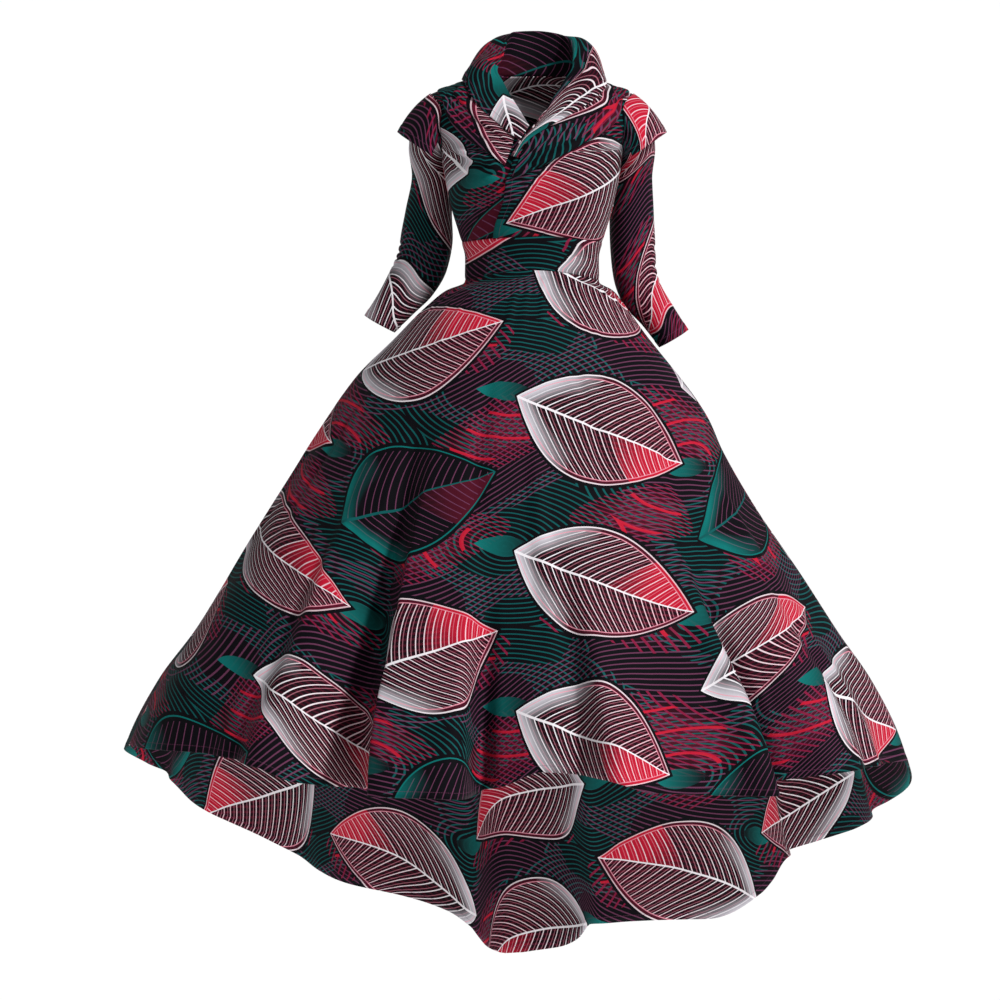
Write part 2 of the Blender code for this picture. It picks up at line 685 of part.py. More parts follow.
def main():
    for old in list(bpy.data.objects):
        bpy.data.objects.remove(old, do_unlink=True)
    wine = new_material("wax print, wine ground", (0.16, 0.02, 0.05))
    teal = new_material("wax print, teal ground", (0.01, 0.12, 0.13))
    plum = new_material("wax print, plum ground", (0.14, 0.06, 0.12))
    black = new_material("wax print, black ground", (0.02, 0.02, 0.025))
    bodice_front("bodice_front_left", "over", wine)
    bodice_front("bodice_front_right", "under", black)
    bodice_back(plum)
    waistband(teal)
    sleeve("sleeve_right", teal)
    sleeve("sleeve_left", wine)
    cap("cap_right", -1, wine)
    cap("cap_left", 1, plum)
    collar(plum)
    drape("drape_right", teal)
    drape("drape_left", wine)
    skirt_panel("skirt_front", 0, wine, 47)
    skirt_panel("skirt_back", 180, teal, 55)


main()
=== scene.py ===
# Looks of a worn wax-print cotton dress: shawl collar, draped shoulders, capped sleeves, high-low skirt
import math

import bpy
import numpy as np
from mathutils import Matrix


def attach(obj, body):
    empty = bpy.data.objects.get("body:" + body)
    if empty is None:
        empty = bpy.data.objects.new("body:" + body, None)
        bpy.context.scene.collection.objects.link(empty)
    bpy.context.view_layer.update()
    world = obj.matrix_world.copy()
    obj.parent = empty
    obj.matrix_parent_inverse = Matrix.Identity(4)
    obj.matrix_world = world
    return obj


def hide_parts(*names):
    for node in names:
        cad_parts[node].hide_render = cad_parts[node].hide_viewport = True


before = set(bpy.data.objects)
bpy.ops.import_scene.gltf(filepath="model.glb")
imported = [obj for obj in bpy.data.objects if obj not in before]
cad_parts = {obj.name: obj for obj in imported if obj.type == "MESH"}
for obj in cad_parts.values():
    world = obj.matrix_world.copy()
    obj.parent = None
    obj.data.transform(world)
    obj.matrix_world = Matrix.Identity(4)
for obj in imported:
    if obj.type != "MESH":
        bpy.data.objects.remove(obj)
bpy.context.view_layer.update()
print("frame loaded, nodes:", len(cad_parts))

# What holds for every piece of cloth, in metres
cloth = {
    "thickness": 0.0012,
    "hemThickness": 0.0026,
    "hemWidth": 0.014,
    "seamDip": 0.0012,
    "seamWidth": 0.006,
    "seamGap": 0.0003,
    "creaseStart": 0.30,  # share of a crease's length over which it grows
    "creaseEnd": 0.45,  # and over which it fades
    "farFromEdge": 1.0,
    "slot": "wax_print_cotton",
}

# The worn form that the bodice, the waistband, the drapes and the collar follow
body = {
    "waistSeam": -0.267,
    "waistArch": 0.015,
    "bandHem": -0.332,
    "bandArch": 0.022,
    "armholeMiddle": -0.063,
    "armholeHalfHeight": 0.045,
    "armholeHalfDepth": 0.046,
    "neckTop": 0.012,
    "sideRadius": 0.1,  # of the form at its sides, for the gap of the side seams
    "panelRows": (44, 24, 7),  # below, beside and above the armhole
    "panelTop": 0.011,
    "bustHeight": -0.150,
    "bustApart": 0.070,
    "bustDepth": 0.014,
    "bustWide": 0.048,
    "bustTall": 0.050,
    "bustFade": 4,  # how fast the bust ends towards the sides
    # height, half width, front, back
    "sections": np.array([
        (-0.332, 0.1130, 0.094, 0.088),
        (-0.295, 0.1125, 0.092, 0.084),
        (-0.267, 0.1190, 0.098, 0.087),
        (-0.210, 0.1360, 0.113, 0.095),
        (-0.150, 0.1490, 0.127, 0.101),
        (-0.108, 0.1540, 0.125, 0.105),
        (-0.063, 0.1730, 0.108, 0.106),
        (-0.018, 0.1730, 0.066, 0.092),
        (-0.010, 0.1480, 0.058, 0.084),
        (0.000, 0.1180, 0.048, 0.072),
        (0.012, 0.0780, 0.035, 0.057),
    ]),
}
halfWidth, frontDepth, backDepth = 1, 2, 3  # columns of the sections


def ease(value):
    value = np.clip(value, 0, 1)
    return value * value * (3 - 2 * value)


def bump(share):
    # 1 in the middle, falling smoothly to 0 at a share of 1
    return np.where(np.abs(share) < 1, 0.5 + 0.5 * np.cos(math.pi * np.clip(share, -1, 1)), 0)


def turned(angle):
    return (angle + 180) % 360 - 180


def curveThrough(keys, values, at):
    # a cubic through the values at rising keys, which never overshoots them
    step = np.diff(keys)
    slope = np.diff(values) / step
    tangent = np.concatenate([slope[:1], np.zeros(len(keys) - 2), slope[-1:]])
    before, after = 2 * step[1:] + step[:-1], step[1:] + 2 * step[:-1]
    rising = slope[:-1] * slope[1:] > 0
    safe = np.where(rising, slope[:-1], 1), np.where(rising, slope[1:], 1)
    tangent[1:-1] = np.where(rising, (before + after) / (before / safe[0] + after / safe[1]), 0)
    at = np.clip(at, keys[0], keys[-1])
    i = np.clip(np.searchsorted(keys, at) - 1, 0, len(step) - 1)
    t = (at - keys[i]) / step[i]
    rise = 3 * t**2 - 2 * t**3
    level = values[i] * (1 - rise) + values[i + 1] * rise
    return level + step[i] * (tangent[i] * (t**3 - 2 * t**2 + t) + tangent[i + 1] * (t**3 - t**2))


def column(table, number, at):
    return curveThrough(table[:, 0], table[:, number], at)


def stations(table, share):
    # every column of a table of stations, at shares of the way from its first row to its last
    keys = np.arange(len(table), dtype=float)
    return [curveThrough(keys, table[:, i], share * keys[-1]) for i in range(table.shape[1])]


def unit(vectors):
    return vectors / np.maximum(np.linalg.norm(vectors, axis=-1, keepdims=True), 1e-9)


def onBody(angle, height):
    # a point of the worn form; the angle runs from the front towards the wearer's left
    angle, height = np.broadcast_arrays(angle, height)
    sine, cosine = np.sin(np.radians(angle)), np.cos(np.radians(angle))
    x = column(body["sections"], halfWidth, height) * sine
    aside = (np.abs(x) - body["bustApart"]) / body["bustWide"]
    above = (height - body["bustHeight"]) / body["bustTall"]
    bust = body["bustDepth"] * np.exp(-(aside**2) - above**2) * ease(body["bustFade"] * cosine)
    front = -column(body["sections"], frontDepth, height) * cosine - bust
    back = -column(body["sections"], backDepth, height) * cosine
    return np.stack([x, np.where(cosine < 0, back, front), height], -1)


def offBody(angle, height, lift):
    # the point of the form moved outward by the lift
    step, turn = 0.001, 0.5  # metres up and degrees round over which the slope is taken
    top = np.minimum(height + step, body["neckTop"])
    across = onBody(angle + turn, height) - onBody(angle - turn, height)
    up = onBody(angle, top) - onBody(angle, top - 2 * step)
    return onBody(angle, height) + unit(np.cross(across, up)) * np.asarray(lift)[..., None]


def angleAt(x, height):
    # the angle at which the form is this far from the centre plane
    share = x / column(body["sections"], halfWidth, height)
    return np.degrees(np.arcsin(np.clip(share, -1, 1)))


def armholeAngle(height, depth):
    # the angle at which a panel ends: at the armhole where there is one, else at the side
    share = np.clip((height - body["armholeMiddle"]) / body["armholeHalfHeight"], -1, 1)
    deep = body["armholeHalfDepth"] * np.sqrt(1 - share**2)
    return np.degrees(np.arccos(deep / column(body["sections"], depth, height)))


def armhole(angle, side):
    # a point of the armhole's seam, by the angle round it from its top with the front positive
    height = body["armholeMiddle"] + body["armholeHalfHeight"] * np.cos(np.radians(angle))
    inFront = np.sin(np.radians(angle)) >= 0
    front, back = armholeAngle(height, frontDepth), 180 - armholeAngle(height, backDepth)
    return onBody(side * np.where(inFront, front, back), height)


def creases(table, a, b, wrap=None):
    # soft troughs and ridges along bowed lines, by start a and b, end a and b, bow, rise and half width;
    # a rise below 0 is a trough, and a comes round again after the wrap
    lift = np.zeros(np.broadcast(a, b).shape)
    for startA, startB, endA, endB, bow, rise, width in table:
        run = math.hypot(endA - startA, endB - startB)
        alongA, alongB = (endA - startA) / run, (endB - startB) / run
        fromA = a - startA
        if wrap is not None:
            fromA = (fromA + wrap / 2) % wrap - wrap / 2
        share = (fromA * alongA + (b - startB) * alongB) / run
        aside = (b - startB) * alongA - fromA * alongB - bow * 4 * share * (1 - share)
        length = ease(share / cloth["creaseStart"]) * ease((1 - share) / cloth["creaseEnd"])
        lift = lift + rise * length * bump(aside / width)
    return lift


def layFlat(points, around, middle, anchor=0.0):
    # distances over the cloth: across each row from its middle column, which lies at the anchor,
    # and along each column from its first row
    loop = np.concatenate([points, points[:, :1]], 1) if around else points
    across = np.pad(np.linalg.norm(np.diff(loop, axis=1), axis=2).cumsum(1), ((0, 0), (1, 0)))
    along = np.pad(np.linalg.norm(np.diff(loop, axis=0), axis=2).cumsum(0), ((1, 0), (0, 0)))
    across = across - across[:, middle:middle + 1] + np.reshape(anchor, (-1, 1))
    return across, along


def toEdges(across, along, edges):
    # the distance to the nearest finished edge, and the way along it
    options = {
        "firstRow": (along, across),
        "lastRow": (along[-1:] - along, across),
        "firstColumn": (across - across[:, :1], along),
        "lastColumn": (across[:, -1:] - across, along),
    }
    away, way = np.full(across.shape, cloth["farFromEdge"]), across
    for edge in edges:
        near, wayThere = options[edge]
        way = np.where(near < away, wayThere, way)
        away = np.minimum(near, away)
    return away, way


def addSheet(name, cut, points, around=False, middle=0, anchor=0.0, edges=()):
    # a shell of cloth through rows of points, with its print laid out in metres of cloth; the cut gives
    # the CAD node, the flat size, its area if it isn't a rectangle, and the print's turn and shift
    rows, columns = points.shape[:2]
    index = np.arange(rows * columns).reshape(rows, columns)
    left = index if around else index[:, :-1]
    right = np.roll(index, -1, 1) if around else index[:, 1:]
    faces = np.stack([left[:-1], right[:-1], right[1:], left[1:]], -1).reshape(-1, 4)
    mesh = bpy.data.meshes.new(name)
    mesh.from_pydata(points.reshape(-1, 3).tolist(), [], faces.tolist())
    across, along = layFlat(points, around, middle, anchor)
    away, way = toEdges(across, along, edges)
    turn = math.radians(cut.get("turn", 0))
    printed = np.stack([
        across * math.cos(turn) - along * math.sin(turn) + cut["shift"][0],
        across * math.sin(turn) + along * math.cos(turn) + cut["shift"][1],
    ], -1)
    for mapName, places in (("printMap", printed), ("edgeMap", np.stack([way, away], -1))):
        corners = np.stack([places[:-1, :-1], places[:-1, 1:], places[1:, 1:], places[1:, :-1]], 2)
        mesh.uv_layers.new(name=mapName).data.foreach_set("uv", corners.astype(np.float32).ravel())
    mesh.shade_smooth()
    mesh.materials.append(cotton)
    piece = bpy.data.objects.new(name, mesh)
    bpy.context.scene.collection.objects.link(piece)
    hem = piece.vertex_groups.new(name="hem")
    turnedUp = away[:, :columns] < cloth["hemWidth"]
    hem.add(index[turnedUp].tolist(), 1.0, "REPLACE")
    wall = piece.modifiers.new("wall", "SOLIDIFY")
    wall.thickness = cloth["hemThickness"]
    wall.vertex_group = "hem"
    wall.thickness_vertex_group = cloth["thickness"] / cloth["hemThickness"]
    wall.offset = 0
    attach(piece, "root")
    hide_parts(cut["node"])
    size = sum(face.area for face in mesh.polygons)
    print(f"{name}: {len(faces)} faces before its thickness, {size:.3f} square metres of cloth")


def linear(code):
    # sRGB hex to the linear values that Blender's sockets hold
    parts = [int(code[i:i + 2], 16) / 255 for i in (0, 2, 4)]
    return (*[c / 12.92 if c <= 0.04045 else ((c + 0.055) / 1.055) ** 2.4 for c in parts], 1.0)


def addNode(tree, kind, inputs=None, **settings):
    made = tree.nodes.new(kind)
    for name, value in settings.items():
        setattr(made, name, value)
    for name, value in (inputs or {}).items():
        if isinstance(value, bpy.types.NodeSocket):
            tree.links.new(value, made.inputs[name])
        else:
            made.inputs[name].default_value = value
    return made


# The print, in millimetres of cloth: leaves in a half-drop repeat, afloat on ripples that two combs
# of lines cross
waxPrint = {
    "columnWidth": 350,
    "rowHeight": 275,
    "leafTilt": 21,
    "leafHalfLength": 170,
    "leafHalfWidth": 96,
    "leafBelly": 0.22,
    "leafMargin": 6,
    "outline": 2.5,
    "innerOutlineIn": 8.6,
    "innerOutline": 1.8,
    "veinSpacing": 17,
    "veinWidth": 2.3,
    "veinSweep": 0.75,
    "veinCurl": 0.0042,
    "fineVeinWidth": 1.6,
    "midribWidth": 1.6,
    "midribTaper": 0.45,
    "hatchSpacing": 9.0,
    "hatchSlant": 0.16,
    "redFrom": 0.17,
    "paleDepth": 34,
    "paleReach": 1.25,
    "rippleFlatness": 0.58,
    "rippleSpacing": 8.2,
    "budHalfLength": 54,
    "budHalfWidth": 17,
    # lines of a comb across and up in two repeats, the sway that bends it, and by how many lines
    "combs": {
        "plum": (22, 58, "swayU", 5.2),
        "crimson": (-34, 50, "swayV", 4.3),
    },
    # how much of its spacing a line covers
    "lineShares": {"hatch": 0.60, "ripple": 0.27, "redRipple": 0.55, "plum": 0.25, "crimson": 0.27},
    "redRippleEvery": 5,
    # levels of the slow sways where patches of lines end
    "patchEdges": {"ripple": -0.6, "redRipple": 0.85, "plum": 0.4, "crimson": 0.3},
    # how far two slow waves, drift and roll, bend, and how much each is mixed into the other
    "driftBend": 1.7,
    "rollBend": 1.6,
    "rollInDrift": 0.8,
    "driftInRoll": -0.9,
    # slope and level of what fades along a leaf, a bud or a sway
    "fades": {
        "towardsTip": (0.5, 0.6),
        "redFade": (1.8, 0.18),
        "towardsBase": (-1.9, -0.42),
        "whiteOnVein": (-0.5, 0.75),
        "outlineFade": (-0.36, 0.74),
        "glow": (0.65, -0.40),
        "budFade": (-0.6, 0.5),
    },
    # the parts of a leaf that show on the bright kind, and those on the dark kind
    "brightParts": ("vein", "fineVein", "fill", "redFill", "outline", "innerOutline", "pale", "midrib"),
    "darkParts": ("vein", "redFill", "outline", "pale", "midrib"),
    "colours": {
        "ground": "07060b",
        "teal": "0b4d4d",
        "brightTeal": "07615e",
        "plum": "5d314b",
        "crimson": "781536",
        "burgundy": "4e0c20",
        "red": "ad142c",
        "pink": "d48596",
        "white": "d6d2d6",
        "pale": "b9b6bd",
    },
}


def printSteps():
    # each row makes one value from others: its name, the sum, and what goes in
    p = waxPrint
    width, height = p["columnWidth"], p["rowHeight"]
    cosine, sine = math.cos(math.radians(p["leafTilt"])), math.sin(math.radians(p["leafTilt"]))
    fades, shares, patchEdges = p["fades"], p["lineShares"], p["patchEdges"]
    combs = []
    for name, (across, up, sway, bend) in p["combs"].items():
        combs += [
            (name + "U", "MULTIPLY", "u", across / (2 * width)),
            (name + "V", "MULTIPLY_ADD", "v", up / (2 * height), name + "U"),
            (name + "Count", "MULTIPLY_ADD", sway, bend, name + "V"),
            (name + "Place", "FRACT", name + "Count"),
            (name + "Line", "LESS_THAN", name + "Place", shares[name]),
            (name + "Comb", "MULTIPLY", name + "Line", name + "Patch"),
        ]
    return [
        # the cell of the half-drop repeat, and the place in it
        ("cellsAcross", "DIVIDE", "u", width),
        ("columnNumber", "FLOOR", "cellsAcross"),
        ("odd", "FLOORED_MODULO", "columnNumber", 2),
        ("inCellX", "FRACT", "cellsAcross"),
        ("x", "MULTIPLY_ADD", "inCellX", width, -0.5 * width),
        ("dropped", "MULTIPLY_ADD", "odd", 0.5 * height, "v"),
        ("cellsUp", "DIVIDE", "dropped", height),
        ("rowNumber", "FLOOR", "cellsUp"),
        ("oddRow", "FLOORED_MODULO", "rowNumber", 2),
        ("inCellY", "FRACT", "cellsUp"),
        ("y", "MULTIPLY_ADD", "inCellY", height, -0.5 * height),
        # leaves tilt one way in a column and the other way in the next
        ("mirror", "MULTIPLY_ADD", "odd", -2, 1),
        ("mirroredY", "MULTIPLY", "y", "mirror"),
        ("xCosine", "MULTIPLY", "x", cosine),
        ("leafX", "MULTIPLY_ADD", "mirroredY", sine, "xCosine"),
        ("xSine", "MULTIPLY", "x", -sine),
        ("leafY", "MULTIPLY_ADD", "mirroredY", cosine, "xSine"),
        ("aside", "ABSOLUTE", "leafY"),
        # the leaf's outline, as a distance in from its edge
        ("t", "DIVIDE", "leafX", p["leafHalfLength"]),
        ("tSquared", "MULTIPLY", "t", "t"),
        ("pointed", "SUBTRACT", 1, "tSquared"),
        ("belly", "MULTIPLY_ADD", "t", -p["leafHalfWidth"] * p["leafBelly"], p["leafHalfWidth"]),
        ("leafReach", "MULTIPLY", "pointed", "belly"),
        ("inset", "SUBTRACT", "leafReach", "aside"),
        ("leaf", "GREATER_THAN", "inset", 0),
        ("margin", "GREATER_THAN", "inset", -p["leafMargin"]),
        ("outline", "COMPARE", "inset", 0.5 * p["outline"], 0.5 * p["outline"]),
        ("innerOutline", "COMPARE", "inset", p["innerOutlineIn"], 0.5 * p["innerOutline"]),
        ("bladeArea", "GREATER_THAN", "inset", p["innerOutlineIn"]),
        # side veins that sweep towards the tip
        ("asideSquared", "MULTIPLY", "aside", "aside"),
        ("swept", "MULTIPLY_ADD", "aside", -p["veinSweep"], "leafX"),
        ("curled", "MULTIPLY_ADD", "asideSquared", -p["veinCurl"], "swept"),
        ("veinCount", "DIVIDE", "curled", p["veinSpacing"]),
        ("veinPlace", "FRACT", "veinCount"),
        ("veinLine", "LESS_THAN", "veinPlace", p["veinWidth"] / p["veinSpacing"]),
        ("vein", "MULTIPLY", "veinLine", "bladeArea"),
        ("finePlace", "PINGPONG", "veinCount", 0.5),
        ("fineLine", "GREATER_THAN", "finePlace", 0.5 - 0.5 * p["fineVeinWidth"] / p["veinSpacing"]),
        ("fineVein", "MULTIPLY", "fineLine", "bladeArea"),
        ("midribReach", "MULTIPLY_ADD", "t", -p["midribTaper"] * p["midribWidth"], p["midribWidth"]),
        ("midribLine", "LESS_THAN", "aside", "midribReach"),
        ("midrib", "MULTIPLY", "midribLine", "leaf"),
        # the blade's fill: warmer towards the tip, red on one side of the midrib, hatched lengthwise
        ("towardsTip", "MULTIPLY_ADD", "t", *fades["towardsTip"], "clamp"),
        ("fill", "MULTIPLY", "towardsTip", "leaf"),
        ("rowMirror", "MULTIPLY_ADD", "oddRow", -2, 1),
        ("redSide", "MULTIPLY", "leafY", "rowMirror"),
        ("onRedSide", "LESS_THAN", "redSide", 0),
        ("farOut", "GREATER_THAN", "veinCount", p["redFrom"]),
        ("redPatch", "MULTIPLY", "onRedSide", "farOut"),
        ("redFade", "MULTIPLY_ADD", "t", *fades["redFade"], "clamp"),
        ("redFaded", "MULTIPLY", "redPatch", "redFade"),
        ("redFill", "MULTIPLY", "redFaded", "fill"),
        ("hatchSlant", "MULTIPLY_ADD", "leafX", p["hatchSlant"], "leafY"),
        ("hatchCount", "DIVIDE", "hatchSlant", p["hatchSpacing"]),
        ("hatchPlace", "FRACT", "hatchCount"),
        ("hatchLine", "LESS_THAN", "hatchPlace", shares["hatch"]),
        ("notRed", "SUBTRACT", 1, "redFaded"),
        ("hatchHere", "MULTIPLY", "hatchLine", "notRed"),
        ("hatch", "MULTIPLY", "hatchHere", "bladeArea"),
        # the pale base of the leaf
        ("towardsBase", "MULTIPLY_ADD", "t", *fades["towardsBase"], "clamp"),
        ("nearRim", "MULTIPLY_ADD", "inset", -1 / p["paleDepth"], p["paleReach"], "clamp"),
        ("paleFade", "MULTIPLY", "towardsBase", "nearRim"),
        ("pale", "MULTIPLY", "paleFade", "leaf"),
        # one leaf in four is the dark kind
        ("evenRow", "SUBTRACT", 1, "oddRow"),
        ("dark", "MULTIPLY", "odd", "evenRow"),
        ("bright", "SUBTRACT", 1, "dark"),
        *[("bright " + part, "MULTIPLY", part, "bright") for part in p["brightParts"]],
        *[("dark " + part, "MULTIPLY", part, "dark") for part in p["darkParts"]],
        ("whiteOnVein", "MULTIPLY_ADD", "t", *fades["whiteOnVein"], "clamp"),
        ("whiteVein", "MULTIPLY", "bright vein", "whiteOnVein"),
        ("outlineFade", "MULTIPLY_ADD", "t", *fades["outlineFade"], "clamp"),
        ("whiteOutline", "MULTIPLY", "bright outline", "outlineFade"),
        # slow sways that bend the combs and part them into patches
        ("uTurn", "MULTIPLY", "u", math.pi / width),
        ("vTurn", "MULTIPLY", "v", math.pi / height),
        ("swayU", "SINE", "uTurn"),
        ("swayV", "SINE", "vTurn"),
        ("uTurnTwice", "MULTIPLY", "uTurn", 2),
        ("driftTurn", "MULTIPLY_ADD", "swayV", p["driftBend"], "uTurnTwice"),
        ("drift", "SINE", "driftTurn"),
        ("vTurnThrice", "MULTIPLY", "vTurn", 3),
        ("rollTurn", "MULTIPLY_ADD", "swayU", p["rollBend"], "vTurnThrice"),
        ("roll", "SINE", "rollTurn"),
        ("driftAndRoll", "MULTIPLY_ADD", "roll", p["rollInDrift"], "drift"),
        ("rollLessDrift", "MULTIPLY_ADD", "drift", p["driftInRoll"], "roll"),
        # ripples about the places between the leaves
        ("shiftedAcross", "ADD", "cellsAcross", 0.5),
        ("shiftedColumn", "FLOOR", "shiftedAcross"),
        ("shiftedOdd", "FLOORED_MODULO", "shiftedColumn", 2),
        ("shiftedFract", "FRACT", "shiftedAcross"),
        ("pondX", "MULTIPLY_ADD", "shiftedFract", width, -0.5 * width),
        ("shiftedDrop", "MULTIPLY_ADD", "shiftedOdd", 0.5, 0.25),
        ("shiftedV", "MULTIPLY_ADD", "v", 1 / height, "shiftedDrop"),
        ("pondFract", "FRACT", "shiftedV"),
        ("pondY", "MULTIPLY_ADD", "pondFract", height, -0.5 * height),
        ("nearX", "MULTIPLY", "pondX", p["rippleFlatness"]),
        ("nearX2", "MULTIPLY", "nearX", "nearX"),
        ("near2", "MULTIPLY_ADD", "pondY", "pondY", "nearX2"),
        ("near", "SQRT", "near2"),
        ("pondAside", "ABSOLUTE", "pondX"),
        ("pondAbove", "ABSOLUTE", "pondY"),
        ("farX", "MULTIPLY_ADD", "pondAside", -p["rippleFlatness"], p["rippleFlatness"] * width),
        ("farY", "SUBTRACT", 0.5 * height, "pondAbove"),
        ("farX2", "MULTIPLY", "farX", "farX"),
        ("far2", "MULTIPLY_ADD", "farY", "farY", "farX2"),
        ("far", "SQRT", "far2"),
        ("fromPond", "MINIMUM", "near", "far"),
        ("rippleCount", "DIVIDE", "fromPond", p["rippleSpacing"]),
        ("ripplePlace", "FRACT", "rippleCount"),
        ("rippleLine", "LESS_THAN", "ripplePlace", shares["ripple"]),
        ("ripplePatch", "GREATER_THAN", "driftAndRoll", patchEdges["ripple"]),
        ("ripple", "MULTIPLY", "rippleLine", "ripplePatch"),
        ("redRippleNumber", "FLOORED_MODULO", "rippleCount", p["redRippleEvery"]),
        ("redRippleLine", "LESS_THAN", "redRippleNumber", shares["redRipple"]),
        ("redRipplePatch", "GREATER_THAN", "rollLessDrift", patchEdges["redRipple"]),
        ("redRipple", "MULTIPLY", "redRippleLine", "redRipplePatch"),
        # a plum comb and a crimson comb
        ("plumPatch", "LESS_THAN", "driftAndRoll", patchEdges["plum"]),
        ("crimsonPatch", "GREATER_THAN", "rollLessDrift", patchEdges["crimson"]),
        *combs,
        # a burgundy glow behind the lines, and teal buds in the ripples
        ("glow", "MULTIPLY_ADD", "rollLessDrift", *fades["glow"], "clamp"),
        ("budT", "DIVIDE", "pondX", p["budHalfLength"]),
        ("budTSquared", "MULTIPLY", "budT", "budT"),
        ("budReach", "MULTIPLY_ADD", "budTSquared", -p["budHalfWidth"], p["budHalfWidth"]),
        ("budInset", "SUBTRACT", "budReach", "pondAbove"),
        ("budShape", "GREATER_THAN", "budInset", 0),
        ("budFade", "MULTIPLY_ADD", "budT", *fades["budFade"], "clamp"),
        ("bud", "MULTIPLY", "budShape", "budFade"),
    ]


def addSteps(tree, values, steps):
    # one math node for each row; a value's name stands for it, and "clamp" keeps the sum from 0 to 1
    for name, operation, *inputs in steps:
        clamp = "clamp" in inputs
        inputs = {i: values.get(value, value) for i, value in enumerate(inputs) if value != "clamp"}
        made = addNode(tree, "ShaderNodeMath", inputs, operation=operation, use_clamp=clamp)
        values[name] = made.outputs[0]


# What is laid over the ground, from the bottom up: the part of the print, its colour and its strength
printLayers = [
    ("glow", "burgundy", 0.9),
    ("ripple", "teal", 0.95),
    ("plumComb", "plum", 0.9),
    ("crimsonComb", "crimson", 0.9),
    ("redRipple", "red", 0.9),
    ("budShape", "ground", 0.85),
    ("bud", "brightTeal", 1.0),
    ("margin", "ground", 1.0),
    ("bright fill", "burgundy", 1.0),
    ("bright redFill", "red", 1.0),
    ("dark redFill", "burgundy", 0.8),
    ("hatch", "ground", 0.85),
    ("bright fineVein", "pink", 0.4),
    ("dark vein", "plum", 1.0),
    ("bright vein", "pink", 1.0),
    ("whiteVein", "white", 1.0),
    ("bright pale", "pale", 1.0),
    ("dark pale", "brightTeal", 1.0),
    ("bright innerOutline", "pink", 0.8),
    ("dark outline", "brightTeal", 1.0),
    ("bright outline", "pink", 0.55),
    ("whiteOutline", "white", 1.0),
    ("dark midrib", "teal", 1.0),
    ("bright midrib", "white", 1.0),
]

# Calendered plain-weave cotton: dry and soft, with a faint sheen along the folds; lengths in millimetres,
# but for the depths, which are in metres
cottonFinish = {
    "roughness": 0.7,
    "specular": 0.05,
    "sheen": 0.012,
    "sheenRoughness": 0.45,
    "threadSpacing": 1.4,  # real threads lie 0.4 mm apart; drawn coarser so that they show
    "threadDepth": 0.00016,
    "threadStrength": 0.5,
    "crinkleSize": 38,
    "crinkleDepth": 0.0016,
    "crinkleStrength": 0.6,
    "crinkleDetail": 2.0,
    "crinkleDistortion": 0.4,
    "stitchFrom": 11.0,
    "stitchWidth": 0.9,
    "stitchLength": 3.6,
    "stitchShare": 0.72,  # of its length that a stitch's thread shows
    "stitchStrength": 0.6,
    "stitchRise": 3,  # times a thread's
    "fade": 0.16,
    "cloudScale": 0.012,
    "cloudDetail": 3.0,
}


